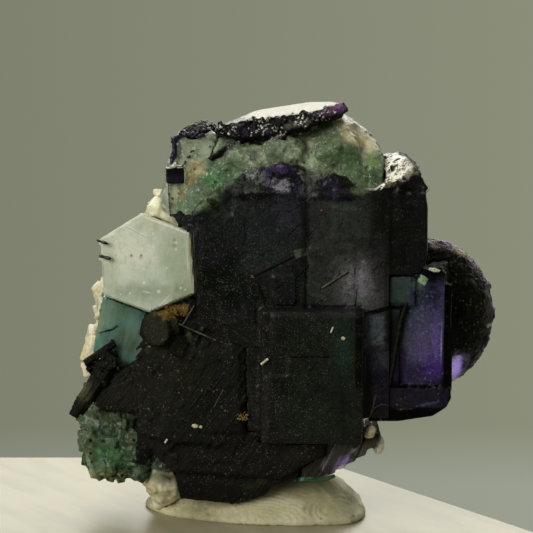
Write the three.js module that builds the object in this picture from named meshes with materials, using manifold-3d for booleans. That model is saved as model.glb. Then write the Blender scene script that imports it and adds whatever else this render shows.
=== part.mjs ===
// A hand-sized mineral specimen: a cluster of near-black fluorite cubes with a green broken crown and
// purple crystals at one side, two aquamarine prisms, black tourmaline, feldspar, and a lump of
// putty pressed flat under it, on which the specimen stands.
//
// Units are millimetres. +Z is up, +Y runs away from the show face and +X to the right of someone who
// looks at that face. The origin is the middle of the specimen's own box, at the level it stands on.

import * as THREE from "three";
import { mergeVertices } from "three/addons/utils/BufferGeometryUtils.js";
import Module from "manifold-3d";

const wasm = await Module();
wasm.setup();

// ---------------------------------------------------------------- driving dimensions

const GAP = 0.3; // clear space between two pieces that grew against each other
const LEDGE = 0.2; // height of one growth ledge on a cube face
const CHAMFER = 0.15; // worn rim of a crystal face

// Levels of the front faces, from the proudest cube to the deepest ledge
const LOW_CUBE_Y = -11.7;
const UPPER_CUBE_Y = -10.5;
const MIDDLE_CUBE_Y = -10.1;
const RIGHT_CUBE_Y = -9.7;
const PURPLE_CUBE_Y = -9.0;
const TOURMALINE_Y = -9.9;
const HEXAGON_Y = -8.5;
const TEAL_Y = -6.6;

const LOBE_MIDDLE = [16.4, 0.8, 22.4]; // centre of the rounded lobe at the right
const LOBE_RADII = [7.4, 4.9, 8.5]; // half its width, depth and height
const LOBE_CUBES = 70; // little cubes all round it, of which those on its open side show

const SKIN = 2.4; // depth of the dark outer zone round the green heart of the fluorite
const HEART_BACK_Y = 7.5; // rear of the green heart
const HEXAGON_LENGTH = 14.5; // the pale aquamarine along its axis
const HEXAGON_DIP = 9; // degrees by which that axis sinks towards the back
const PUTTY_HEIGHT = 5.6; // from the ground to the top of the putty, inside the specimen's foot
const FOOT_LEVEL = 0.5; // height at which the feldspar foot hangs clear of the ground
const NECK = 0.62; // share of its footprint that the putty keeps at the top

// ---------------------------------------------------------------- making and cutting solids

/** A closed three.js geometry as a solid that can be joined and cut. */
function solidOf(geometry) {
  const plain = geometry.index ? geometry.toNonIndexed() : geometry.clone();
  for (const name of Object.keys(plain.attributes)) {
    if (name !== "position") plain.deleteAttribute(name);
  }
  const merged = mergeVertices(plain, 1e-4);
  return new wasm.Manifold(
    new wasm.Mesh({
      numProp: 3,
      vertProperties: merged.attributes.position.array,
      triVerts: new Uint32Array(merged.index.array),
    }),
  );
}

/** All the solids in a list joined into one. */
function join(solids) {
  return solids.reduce((whole, next) => whole.add(next));
}

/** A geometry turned by [x, y, z] degrees about a point. */
function turned(geometry, [x, y, z], point) {
  geometry.translate(-point[0], -point[1], -point[2]);
  const turn = new THREE.Euler(...[x, y, z].map(THREE.MathUtils.degToRad));
  geometry.applyMatrix4(new THREE.Matrix4().makeRotationFromEuler(turn));
  return geometry.translate(...point);
}

/** A number from -1 to 1 that wanders smoothly from place to place, the same every time. */
function wander(x, y, z, seed) {
  const a = Math.sin(1.7 * x + 2.3 * seed) * Math.cos(1.3 * y - seed);
  const b = Math.sin(2.1 * z + 1.1 * seed + 0.9 * x) * Math.cos(1.9 * y + 0.6 * z);
  return 0.6 * a + 0.4 * b;
}

/** A number from 0 to 1 that jumps about with the count, the same every time. */
function scatter(count, seed) {
  const value = Math.sin(count * 127.1 + seed * 311.7) * 43758.5453;
  return value - Math.floor(value);
}

/**
 * The shapes that the pieces are made of, each drawn larger by a margin on every side. With no
 * margin they make the piece itself, and with one they make the room that its neighbours leave it.
 */
function shapeMakers(margin) {
  /**
   * An outline of [x, z] points carried back from y = front to y = back, its rims chamfered, and
   * then tilted about the outline's first point.
   */
  function slab(outline, front, back, { chamfer = CHAMFER, tilt = [0, 0, 0] } = {}) {
    const shape = new THREE.Shape(outline.map(([x, z]) => new THREE.Vector2(x, z)));
    const geometry = new THREE.ExtrudeGeometry(shape, {
      depth: back - front + 2 * (margin - chamfer),
      bevelEnabled: true,
      bevelThickness: chamfer,
      bevelSize: chamfer,
      bevelOffset: margin - chamfer,
      bevelSegments: 1,
    });
    geometry.rotateX(Math.PI / 2);
    geometry.translate(0, back + margin - chamfer, 0);
    return solidOf(turned(geometry, tilt, [outline[0][0], front, outline[0][1]]));
  }

  /** A block between two corners, turned about its middle. */
  function block([x0, y0, z0], [x1, y1, z1], tilt = [0, 0, 0]) {
    const [width, depth, height] = [x1 - x0, y1 - y0, z1 - z0].map((side) => side + 2 * margin);
    const geometry = new THREE.BoxGeometry(width, depth, height);
    const middle = [(x0 + x1) / 2, (y0 + y1) / 2, (z0 + z1) / 2];
    return solidOf(turned(geometry.translate(...middle), tilt, middle));
  }

  /** A cube of a given edge about a middle. */
  function cube([x, y, z], edge, tilt = [0, 0, 0]) {
    const half = edge / 2;
    return block([x - half, y - half, z - half], [x + half, y + half, z + half], tilt);
  }

  /** A rough lump: a ball of flat facets stretched to three radii, its surface pushed in and out. */
  function lump(middle, radii, { detail = 3, rough = 0.12, seed = 1, tilt = [0, 0, 0] } = {}) {
    const geometry = new THREE.IcosahedronGeometry(1, detail);
    const place = geometry.attributes.position;
    const point = new THREE.Vector3();
    for (let i = 0; i < place.count; i++) {
      point.fromBufferAttribute(place, i);
      point.multiplyScalar(1 + rough * wander(2.2 * point.x, 2.2 * point.y, 2.2 * point.z, seed));
      const [x, y, z] = point.toArray().map((part, axis) => part * (radii[axis] + margin));
      place.setXYZ(i, x, y, z);
    }
    return solidOf(turned(geometry.translate(...middle), tilt, middle));
  }

  /** A straight prism between two points, its section a regular polygon turned by spin degrees. */
  function rod(from, to, radius, { sides = 6, spin = 0 } = {}) {
    const start = new THREE.Vector3(...from);
    const along = new THREE.Vector3(...to).sub(start);
    const length = along.length() + 2 * margin;
    const geometry = new THREE.CylinderGeometry(radius + margin, radius + margin, length, sides);
    geometry.rotateY(THREE.MathUtils.degToRad(spin));
    const up = new THREE.Vector3(0, 1, 0);
    const lean = new THREE.Quaternion().setFromUnitVectors(up, along.clone().normalize());
    geometry.applyQuaternion(lean);
    const middle = start.addScaledVector(along, 0.5);
    geometry.translate(middle.x, middle.y, middle.z);
    return solidOf(geometry);
  }

  /** The solid with all that lies beyond each plane broken off: [a point on it, the way it faces]. */
  function broken(solid, planes) {
    return planes.reduce((left, [point, facing]) => {
      const keep = new THREE.Vector3(...facing).normalize().negate();
      return left.trimByPlane(keep.toArray(), keep.dot(new THREE.Vector3(...point)) - margin);
    }, solid);
  }

  /** Small cubes strewn over a patch, from corner to corner of a box, each turned its own way. */
  function strewn(low, high, count, edge, seed) {
    return Array.from({ length: count }, (_, i) => {
      const middle = low.map((start, axis) => {
        return start + (high[axis] - start) * scatter(i, seed + axis);
      });
      const tilt = [0, 1, 2].map((axis) => 40 * scatter(i, seed + 5 + axis) - 20);
      return cube(middle, edge * (0.6 + 0.8 * scatter(i, seed + 9)), tilt);
    });
  }

  /** Growth ledges on a cube face that looks to the front: [x0, z0, x1, z1, how many ledges high]. */
  function ledges(face, plates) {
    return plates.map(([x0, z0, x1, z1, steps]) =>
      block([x0, face - steps * LEDGE, z0], [x1, face + 2, z1]),
    );
  }

  return { slab, block, cube, lump, rod, broken, strewn, ledges };
}

const ownSize = shapeMakers(0);
const withRoom = shapeMakers(GAP);

/** A piece with the room of its neighbours cut from it, and without the crumbs that this leaves. */
function beside(piece, ...neighbours) {
  const left = neighbours.reduce((rest, next) => rest.subtract(next(withRoom)), piece(ownSize));
  return left.decompose().reduce((a, b) => (b.volume() > a.volume() ? b : a));
}

// ---------------------------------------------------------------- aquamarines and their needles

/** The pale six-sided prism: its end looks to the front, with a low growth step and two needles. */
function aquamarineHexagon({ slab, rod }) {
  const end = [
    [-15.5, 34.9],
    [-20.0, 32.1],
    [-19.6, 26.0],
    [-14.6, 24.1],
    [-9.6, 26.2],
    [-10.1, 32.8],
  ];
  const step = [
    [-15.4, 34.3],
    [-19.2, 31.8],
    [-18.9, 27.0],
    [-15.2, 25.6],
    [-13.9, 26.2],
    [-12.9, 26.0],
    [-10.5, 27.1],
    [-10.8, 32.4],
  ];
  const back = HEXAGON_Y + HEXAGON_LENGTH;
  const prism = slab(end, HEXAGON_Y, back, { tilt: [-HEXAGON_DIP, 0, 0] });
  const raised = slab(step, HEXAGON_Y - 0.22, HEXAGON_Y + 2, {
    chamfer: 0.08,
    tilt: [-HEXAGON_DIP, 0, 0],
  });
  const needles = [31.7, 29.9].map((height, i) => {
    const lean = 0.1 + 0.15 * i;
    const tip = [-20.15, HEXAGON_Y - 0.1, height];
    return rod(tip, [-19.0, HEXAGON_Y + 0.2, height - lean], 0.2);
  });
  return join([prism, raised, ...needles]);
}

/** The blue-green prism under it, lying across, with one broad side and a bevelled one showing. */
function aquamarineTeal({ slab, broken }) {
  const outline = [
    [-20.6, 21.9],
    [-21.2, 18.9],
    [-18.9, 18.4],
    [-18.2, 16.6],
    [-14.6, 16.6],
    [-13.8, 21.0],
    [-13.2, 25.0],
    [-19.7, 26.6],
  ];
  const body = slab(outline, TEAL_Y, TEAL_Y + 10, { chamfer: 0.3 });
  return broken(body, [
    [[-16.6, TEAL_Y, 20.0], [0.42, -0.9, -0.12]],
    [[-20.3, TEAL_Y + 0.4, 22.0], [-0.8, -0.6, 0.05]],
  ]);
}

// ---------------------------------------------------------------- fluorite

/** The near-black cubes: a skin over the green heart above, whole cubes below and to the right. */
function darkFluorite({ slab, block, broken, strewn, ledges }) {
  const upperSkin = [
    [-9.4, 23.1],
    [-6.8, 21.4],
    [-4.4, 20.4],
    [2.3, 20.2],
    [2.3, 40.0],
    [0.9, 40.4],
    [-1.2, 40.3],
    [-2.9, 39.6],
    [-4.4, 38.4],
    [-6.6, 37.4],
    [-8.0, 36.2],
    [-9.3, 34.6],
    [-9.9, 32.6],
  ];
  const middleSkin = [
    [2.0, 20],
    [11.5, 20],
    [11.5, 38.4],
    [10.4, 37.8],
    [8.4, 37.1],
    [7.1, 37.4],
    [6.2, 38.2],
    [5.3, 38.9],
    [4.6, 38.5],
    [4.0, 38.0],
    [3.4, 38.9],
    [2.0, 39.9],
  ];
  const lowerLeft = [
    [-9.2, 30.0],
    [-9.2, 23.2],
    [-6.8, 21.5],
    [-4.4, 20.5],
    [-4.0, 11.0],
    [2.2, 11.0],
    [2.2, 30.0],
  ];
  const rightCube = [
    [11.2, 28.2],
    [15.2, 28.4],
    [15.6, 30.5],
    [15.6, 35.6],
    [15.3, 37.6],
    [14.6, 39.4],
    [13.7, 40.4],
    [12.6, 40.6],
    [11.2, 40.2],
  ];
  const right = broken(slab(rightCube, RIGHT_CUBE_Y, 5.5), [
    [[13.6, RIGHT_CUBE_Y + 1, 40.0], [-0.585, -0.229, 0.778]],
    [[13.4, 2.5, 40.0], [0.1, 0.45, 0.9]],
  ]);
  const topCrumbs = [
    ...strewn([11.4, RIGHT_CUBE_Y + 0.9, 37.6], [12.4, -7.2, 38.2], 5, 0.8, 3),
    ...strewn([12.3, RIGHT_CUBE_Y + 1.6, 38.8], [14.0, -3.0, 39.6], 8, 0.9, 4),
  ];
  const upperPlates = [
    [-8.9, 26.0, 1.3, 34.8, 1],
    [-7.0, 23.0, -3.2, 27.6, 1],
    [-5.4, 29.5, 1.9, 37.4, 1],
    [-1.2, 25.2, 1.2, 28.3, 2],
  ];
  const middlePlates = [
    [2.6, 24.9, 7.6, 31.4, 1],
    [5.4, 32.2, 10.6, 37.6, 1],
    [8.6, 24.9, 10.9, 29.8, 1],
  ];
  const lowPlates = [
    [-1.9, 10.6, 6.3, 17.4, 1],
    [0.4, 16.1, 8.5, 24.0, 1],
    [-1.2, 20.2, 3.6, 24.2, 1],
  ];
  const rightPlates = [
    [11.7, 33.8, 15.3, 37.2, 1],
  ];
  return join([
    slab(upperSkin, UPPER_CUBE_Y, UPPER_CUBE_Y + SKIN),
    slab(middleSkin, MIDDLE_CUBE_Y, MIDDLE_CUBE_Y + SKIN),
    slab(lowerLeft, UPPER_CUBE_Y + 0.4, 7.0),
    block([2.0, MIDDLE_CUBE_Y + 0.4, 12.3], [11.6, 8.4, 31.0]),
    right,
    ...topCrumbs,
    block([-2.5, LOW_CUBE_Y, 9.9], [8.6, 2.0, 24.6], [0, 0.6, 0]),
    ...ledges(UPPER_CUBE_Y, upperPlates),
    ...ledges(MIDDLE_CUBE_Y, middlePlates),
    ...ledges(LOW_CUBE_Y, lowPlates),
    ...ledges(RIGHT_CUBE_Y, rightPlates),
    block([-5.2, 3.5, 13.5], [4.6, 10.2, 24.0], [0, 0, 4]),
    block([3.2, 4.2, 21.0], [11.0, 9.7, 29.2], [0, 0, -3]),
    block([-1.4, 8.0, 19.2], [4.2, 11.4, 25.4], [3, 0, 7]),
    block([5.6, 5.0, 12.4], [10.4, 9.6, 17.6], [0, 4, -6]),
  ]);
}

/** The green heart where it is broken open: a slope of curved breaks from the dark skin to the cap. */
function greenFluorite({ slab, block, broken }) {
  const outline = [
    [-11.4, 30.2],
    [11.0, 30.2],
    [11.0, 40.2],
    [10.7, 40.9],
    [10.3, 41.9],
    [9.7, 42.7],
    [8.8, 43.5],
    [7.8, 44.1],
    [6.7, 44.9],
    [5.2, 44.7],
    [-7.6, 43.4],
    [-9.8, 41.2],
    [-11.4, 38.0],
  ];
  const front = UPPER_CUBE_Y + 1.4;
  const heart = broken(slab(outline, front, HEART_BACK_Y), [
    [[-9.0, -7.9, 35.4], [-0.3, -0.86, 0.42]],
    [[-5.2, -7.9, 38.0], [-0.05, -0.78, 0.62]],
    [[0.6, -7.9, 40.2], [0.06, -0.72, 0.7]],
    [[5.0, -7.4, 38.6], [0.1, -0.8, 0.6]],
    [[9.0, -7.0, 38.3], [0.36, -0.78, 0.5]],
    [[9.6, 1.0, 42.9], [0.8, 0.2, 0.56]],
    [[2.0, 6.4, 40.0], [0.1, 0.9, 0.42]],
    [[-9.4, 4.6, 38.0], [-0.55, 0.75, 0.36]],
  ]);
  const steps = [
    block([-6.6, -7.3, 38.4], [-3.0, -3.0, 42.0], [28, 24, -8]),
    block([-2.2, -7.4, 39.6], [1.8, -3.0, 42.3], [-34, 6, 10]),
    block([3.6, -7.0, 39.4], [8.0, -2.0, 43.4], [32, -18, 12]),
    block([-10.4, -7.2, 34.2], [-7.8, -2.0, 38.6], [12, 30, -20]),
    block([1.0, 3.0, 33.0], [7.0, 9.0, 38.6], [8, 0, 14]),
    block([-7.6, 2.6, 31.6], [-2.2, 8.4, 36.4], [-6, 10, -12]),
  ];
  return join([heart, ...steps]);
}

/** The dark crust that caps the heart: a flat top that shines, over a crumbling edge. */
function darkCap({ slab, broken, strewn }) {
  const profile = [
    [-7.3, 43.1],
    [-4.8, 43.2],
    [-1.5, 43.3],
    [1.8, 44.0],
    [4.4, 44.9],
    [6.9, 45.9],
    [6.7, 46.6],
    [-5.6, 46.6],
    [-7.5, 43.9],
  ];
  const plate = broken(slab(profile, -5.6, 8.4, { chamfer: 0.1 }), [
    [[0.6, -5.2, 45.4], [-0.154, -0.01, 1]],
    [[6.6, -5.2, 46.4], [-0.03, 0.03, 1]],
    [[-6.9, -4.0, 44.0], [-0.96, 0.28, 0.1]],
    [[7.0, 0.0, 46.0], [0.98, 0.14, 0.2]],
    [[4.5, 7.9, 45.0], [0.3, 0.95, 0]],
    [[-4.5, 7.2, 44.0], [-0.45, 0.9, 0]],
  ]);
  return join([
    plate,
    ...strewn([-6.6, -5.8, 43.4], [-1.0, -5.1, 43.7], 5, 0.9, 21),
    ...strewn([-1.0, -5.7, 43.6], [3.4, -5.1, 44.4], 4, 0.9, 22),
    ...strewn([3.4, -5.5, 45.0], [6.2, -5.1, 45.5], 3, 0.8, 23),
  ]);
}

/** A black knob of small crystals at the cap's left end. */
function blackKnob({ lump, strewn }) {
  return join([
    lump([-9.5, -2.4, 43.3], [2.1, 2.6, 0.95], { detail: 2, seed: 4, tilt: [0, -16, 0] }),
    ...strewn([-10.2, -4.0, 43.2], [-8.4, -1.0, 43.7], 6, 0.8, 31),
  ]);
}

/** A little dark cube that sits on the left edge of the clear crystal. */
function smallCube({ block }) {
  return block([-12.95, -6.2, 37.9], [-11.05, -4.3, 39.6], [0, -2, 6]);
}

/** The clear greenish crystal above it, which shows dark along its edges. */
function clearFluorite({ slab, broken }) {
  const outline = [
    [-12.6, 34.3],
    [-10.6, 34.0],
    [-9.4, 37.2],
    [-8.2, 40.2],
    [-7.5, 43.3],
    [-8.8, 43.4],
    [-11.5, 42.8],
    [-12.2, 41.7],
    [-12.7, 38.8],
    [-13.5, 35.6],
  ];
  const whole = slab(outline, -5.2, 4.5, { tilt: [0, 0, 4] });
  return broken(whole, [[[-10.5, 3.4, 40], [-0.4, 0.9, 0.1]]]);
}

/** The purple cubes at the right: a tall window-like one, smaller ones on it, a wide one below. */
function purpleFluorite({ slab, block }) {
  const lowCube = [
    [9.3, 15.8],
    [9.3, 11.9],
    [12.5, 11.9],
    [16.4, 12.5],
    [17.9, 13.5],
    [18.4, 14.5],
    [18.3, 15.8],
  ];
  return join([
    block([12.0, PURPLE_CUBE_Y, 15.4], [18.1, 3.6, 28.4], [0, 0, -5]),
    slab(lowCube, PURPLE_CUBE_Y - 0.3, 3.0),
    block([8.8, PURPLE_CUBE_Y - 0.3, 15.4], [12.6, 0, 24.5], [0, 1, 0]),
    block([11.4, PURPLE_CUBE_Y - 0.5, 24.8], [14.3, -2, 28.0]),
    block([14.6, PURPLE_CUBE_Y - 0.2, 26.8], [17.3, -5, 28.7], [0, 10, 8]),
    block([15.9, -8.9, 26.6], [17.9, -4, 28.9], [0, -6, -12]),
    block([12.6, 0.5, 17.0], [17.0, 6.4, 23.0], [0, 5, 10]),
  ]);
}

/** The rounded lobe behind them, its whole surface set with little cubes. */
function drusyLobe({ lump, cube }) {
  const radii = new THREE.Vector3(...LOBE_RADII);
  const turnOfSpiral = Math.PI * (3 - Math.sqrt(5));
  const sunk = 0.93;
  const crust = Array.from({ length: LOBE_CUBES }, (_, i) => {
    const around = turnOfSpiral * i;
    const up = 1 - (2 * (i + 0.5)) / LOBE_CUBES;
    const reach = Math.sqrt(1 - up * up);
    const place = new THREE.Vector3(reach * Math.cos(around), reach * Math.sin(around), up);
    place.multiply(radii).multiplyScalar(sunk);
    const tilt = [40 * scatter(i, 52), 40 * scatter(i, 53), 40 * scatter(i, 54)];
    const middle = place.toArray().map((part, axis) => part + LOBE_MIDDLE[axis]);
    return { middle, edge: 0.9 + 0.4 * scatter(i, 51), tilt };
  });
  const onOpenSide = crust.filter(({ middle: [x] }) => x > LOBE_MIDDLE[0] - 2);
  const ball = lump(LOBE_MIDDLE, LOBE_RADII, { rough: 0.02, seed: 6 });
  return join([ball, ...onOpenSide.map(({ middle, edge, tilt }) => cube(middle, edge, tilt))]);
}

/** The fan at the lower right: narrow blades side by side, each stepped against the next. */
function fluoriteFan({ slab }) {
  const blades = Array.from({ length: 9 }, (_, i) => {
    const top = 3.6 + 0.78 * i;
    const foot = 0.4 + 1.12 * i;
    const low = 4.9 + 0.06 * i * i;
    const outline = [
      [foot - 0.75, low + 0.35],
      [foot + 0.1, low - 0.15],
      [foot + 0.75, low + 0.1],
      [top + 0.95, 9.8 + 0.08 * i],
      [top - 0.5, 9.6],
    ];
    return slab(outline, -8.1 - 0.24 * ((i * 2) % 3), 1.5 - 0.5 * (i % 3), { chamfer: 0.1 });
  });
  return join(blades);
}

/** Lower-left cubes, green and glassy, grown into each other at all angles. */
function greenCluster({ cube }) {
  const places = [
    [-19.2, -2.6, 9.6, 5.4],
    [-21.1, -3.4, 11.2, 2.6],
    [-18.1, -4.2, 11.5, 2.9],
    [-20.6, -4.4, 8.6, 3.0],
    [-17.6, -4.9, 8.4, 2.8],
    [-20.2, -4.2, 6.1, 2.9],
    [-17.5, -4.0, 6.4, 3.0],
    [-21.2, -1.4, 6.6, 2.4],
    [-18.8, -5.2, 6.9, 2.0],
    [-21.6, -2.6, 9.2, 2.1],
    [-19.0, -3.0, 5.3, 2.0],
    [-19.6, 1.6, 9.2, 5.2],
    [-20.0, 2.8, 6.8, 3.4],
  ];
  const cubes = places.map(([x, y, z, edge], i) => {
    const tilt = [0, 1, 2].map((axis) => 50 * scatter(i, 61 + axis) - 25);
    return cube([x, y, z], edge, tilt);
  });
  return join(cubes);
}

/** A small green wedge between the black mass and the feldspar foot. */
function greenWedge({ slab }) {
  const outline = [
    [-14.8, 6.3],
    [-13.3, 6.0],
    [-11.9, 7.0],
    [-13.8, 8.6],
  ];
  return slab(outline, -7.9, -3.5);
}

// ---------------------------------------------------------------- tourmaline

/** The black mass at the lower left: broad grooved crystals in three tiers, one end-on above. */
function tourmalineMass({ slab, block, rod, broken }) {
  const upper = [
    [-16.0, 17.6],
    [-16.2, 10.8],
    [-12.0, 9.6],
    [-4.4, 9.6],
    [-4.7, 20.2],
    [-6.9, 21.1],
    [-9.5, 22.8],
    [-12.4, 23.2],
    [-15.2, 21.4],
    [-15.7, 19.0],
  ];
  const middle = [
    [-16.2, 11.8],
    [-16.1, 6.9],
    [-15.2, 6.8],
    [-14.7, 8.4],
    [-12.0, 6.4],
    [-0.5, 5.6],
    [4.4, 8.2],
    [4.6, 10.4],
  ];
  const foot = [
    [-12.0, 7.2],
    [-11.8, 4.7],
    [-11.5, 2.9],
    [-8.6, 2.6],
    [-5.7, 2.3],
    [-3.9, 2.7],
    [-2.3, 3.3],
    [-1.4, 4.3],
    [1.6, 5.4],
    [1.8, 7.6],
  ];
  const shoulder = [
    [-15.6, 18.9],
    [-17.0, 18.0],
    [-18.4, 17.3],
    [-21.2, 15.3],
    [-21.5, 13.9],
    [-20.2, 13.0],
    [-16.0, 12.4],
  ];
  const disc = rod([-14.0, -11.0, 22.4], [-13.8, -4.0, 22.4], 1.85, { spin: 12 });
  const plates = [
    block([-12.3, -10.9, 20.9], [-11.5, -8.0, 23.2], [0, -14, 8]),
    block([-11.4, -10.7, 20.3], [-10.8, -8.0, 22.5], [0, -30, -6]),
    block([-12.5, -10.8, 19.6], [-10.9, -8.0, 20.6], [0, 24, 0]),
  ];
  const upperTier = broken(slab(upper, TOURMALINE_Y - 0.6, 5.0, { chamfer: 0.35 }), [
    [[-12.5, TOURMALINE_Y - 0.5, 15], [-0.42, -0.9, 0.1]],
    [[-6.0, TOURMALINE_Y - 0.6, 12.0], [0.06, -0.98, -0.12]],
    [[-7.0, TOURMALINE_Y - 0.3, 20.4], [0.04, -0.93, 0.36]],
  ]);
  const middleTier = broken(slab(middle, TOURMALINE_Y, 4.5, { chamfer: 0.25 }), [
    [[-13.0, TOURMALINE_Y + 0.2, 8.6], [-0.36, -0.92, -0.1]],
    [[3.0, TOURMALINE_Y, 9.0], [0.2, -0.95, -0.2]],
  ]);
  const footTier = broken(slab(foot, TOURMALINE_Y + 1.1, 4.0, { chamfer: 0.25 }), [
    [[-6.0, TOURMALINE_Y + 1.4, 4.0], [-0.04, -0.9, -0.42]],
  ]);
  return join([
    upperTier,
    middleTier,
    footTier,
    slab(shoulder, TOURMALINE_Y + 1.6, 2.0, { chamfer: 0.3 }),
    disc,
    ...plates,
  ]);
}

/** The loose sheaf at the left edge: two grooved rods and a short black one end-on. */
function tourmalineSheaf({ rod }) {
  return join([
    rod([-23.2, -8.6, 12.4], [-19.9, -8.0, 18.2], 0.62, { spin: 10 }),
    rod([-22.6, -7.7, 12.6], [-19.0, -7.4, 17.6], 0.6, { spin: 40 }),
    rod([-21.9, -8.0, 18.2], [-18.6, -7.6, 20.4], 0.46, { spin: 20 }),
    rod([-21.6, -7.5, 17.4], [-18.4, -7.2, 19.2], 0.44, { spin: 50 }),
    rod([-19.2, -9.3, 18.6], [-19.4, -6.4, 18.4], 0.95, { spin: 0 }),
    rod([-20.2, -8.7, 16.2], [-18.9, -6.2, 18.2], 0.8, { spin: 30 }),
  ]);
}

// ---------------------------------------------------------------- feldspar

/** The cream matrix: it shows as a shoulder above, beads down the left edge and a foot below. */
function feldspar({ block, lump, broken }) {
  const edge = [
    [-20.6, 24.7, 0.75],
    [-21.2, 23.1, 0.85],
    [-20.9, 21.4, 0.6],
    [-22.2, 19.0, 0.85],
    [-22.6, 17.5, 0.8],
    [-22.4, 16.2, 0.75],
  ];
  const beads = edge.map(([x, z, half], i) => {
    const front = -2.4 + 0.7 * (i % 3);
    return block([x, front, z - half], [x + 2, 4.2, z + half], [12 - 9 * (i % 3), 8 * (i % 2), 6]);
  });
  const rear = broken(lump([-12.6, 4.2, 22.6], [7.9, 6.4, 12.4], { detail: 2, seed: 8 }), [
    [[-12, 9.4, 24], [-0.15, 0.96, 0.22]],
    [[-18.2, 6.5, 20], [-0.78, 0.62, 0.05]],
    [[-9, 9.0, 12], [0.12, 0.9, -0.4]],
    [[-17.5, 7.0, 28], [-0.5, 0.5, 0.7]],
  ]);
  const low = broken(lump([-8.6, 5.0, 10.4], [9.4, 5.2, 7.6], { detail: 2, seed: 11 }), [
    [[-8, 9.2, 9], [0.1, 0.95, -0.25]],
    [[-15.4, 5.0, 6], [-0.7, 0.3, -0.6]],
    [[-8, 4.0, 3.2], [0, 0.25, -0.97]],
  ]);
  const foot = broken(lump([-13.2, -0.4, 3.5], [2.5, 6.2, 3.2], { detail: 1, seed: 10 }), [
    [[-13.2, -0.4, FOOT_LEVEL], [0, 0, -1]],
  ]);
  return join([
    rear,
    low,
    lump([-13.2, 1.2, 32.6], [2.6, 5.6, 2.7], { detail: 2, seed: 7 }),
    block([-15.0, -3.2, 32.4], [-11.8, 4.0, 35.3], [8, 10, -8]),
    lump([-17.2, 1.6, 20.4], [3.8, 5.6, 6.2], { detail: 2, seed: 9 }),
    foot,
    block([-21.6, 3.4, 15.6], [-18.6, 6.6, 25.0], [0, 7, 4]),
    block([-15.4, -5.2, 3.4], [-12.6, 1.0, 5.8], [6, 18, 10]),
    block([-17.2, 5.6, 23.4], [-10.8, 10.2, 29.4], [8, -4, -14]),
    block([-14.4, 6.0, 13.6], [-7.6, 11.2, 20.2], [-6, 5, -8]),
    block([-20.0, 2.6, 15.6], [-14.8, 8.0, 21.6], [4, 10, -30]),
    block([-10.6, 5.4, 21.6], [-5.8, 10.4, 27.4], [5, 8, 6]),
    block([-9.6, 5.4, 4.6], [-2.6, 10.2, 9.8], [-10, -6, 4]),
    ...beads,
  ]);
}

/** A chip of feldspar between the fan and the cubes: its middle, its radii and its lean. */
function chip({ lump }, middle, radii, lean) {
  return lump(middle, radii, { detail: 1, rough: 0.15, seed: 3, tilt: [0, lean, 0] });
}

const upperChip = (makers) => chip(makers, [9.45, -8.8, 10.75], [0.6, 0.85, 0.75], 20);
const lowerChip = (makers) => chip(makers, [10.5, -6.4, 8.8], [0.65, 1.2, 1.15], -8);

// ---------------------------------------------------------------- putty

/** The putty's outline where it spreads on the ground, as a closed curve seen from above. */
const footprint = new THREE.CatmullRomCurve3(
  [
    [9.1, 0.5],
    [7.8, 5.0],
    [3.0, 7.6],
    [-4.0, 8.0],
    [-11.0, 6.4],
    [-15.8, 2.0],
    [-14.4, -2.8],
    [-10.2, -6.2],
    [-4.0, -8.3],
    [2.5, -8.8],
    [7.4, -8.0],
    [9.1, -5.0],
  ].map(([x, y]) => new THREE.Vector3(x, y, 0)),
  true,
);

/** A hand-pressed lump: it spreads flat on the ground and is drawn in and pinched above. */
function putty() {
  const profile = [
    [0, 0],
    [0.96, 0],
    [1.0, 0.04],
    [1.01, 0.12],
    [0.98, 0.26],
    [0.95, 0.5],
    [0.91, 0.76],
    [0.82, 0.93],
    [0, 1],
  ];
  const points = profile.map(([reach, height]) => new THREE.Vector2(reach, height));
  const geometry = new THREE.LatheGeometry(points, 36);
  geometry.rotateX(Math.PI / 2);
  const middle = new THREE.Vector3(-3.2, 0.2, 0);
  const place = geometry.attributes.position;
  for (let i = 0; i < place.count; i++) {
    const [x, y, height] = [place.getX(i), place.getY(i), Math.max(place.getZ(i), 0)];
    const around = Math.atan2(y, x) / (2 * Math.PI);
    const rim = footprint.getPoint((around + 1) % 1).sub(middle);
    const drawnIn = 1 - (1 - NECK) * height ** 1.3;
    const pinch = 1 + 0.05 * height * Math.sin(8 * Math.PI * around + 5 * height);
    const spot = rim.multiplyScalar(Math.hypot(x, y) * drawnIn * pinch).add(middle);
    const top = PUTTY_HEIGHT * (0.94 + 0.06 * Math.cos(2 * Math.PI * around));
    place.setXYZ(i, spot.x, spot.y, height * top);
  }
  return solidOf(geometry);
}

// ---------------------------------------------------------------- the named pieces and their looks

const looks = {
  putty: { color: "#b8b28e", roughness: 0.8 },
  feldspar: { color: "#d6d2b6", roughness: 0.6 },
  darkFluorite: { color: "#1d1d22", roughness: 0.25 },
  greenFluorite: { color: "#5c8a62", roughness: 0.15 },
  clearFluorite: { color: "#a9b8a0", roughness: 0.1 },
  purpleFluorite: { color: "#3d3166", roughness: 0.15 },
  blackCrust: { color: "#33322e", roughness: 0.3 },
  paleAquamarine: { color: "#bccab4", roughness: 0.2 },
  tealAquamarine: { color: "#577a70", roughness: 0.15 },
  tourmaline: { color: "#171813", roughness: 0.35 },
};

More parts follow.
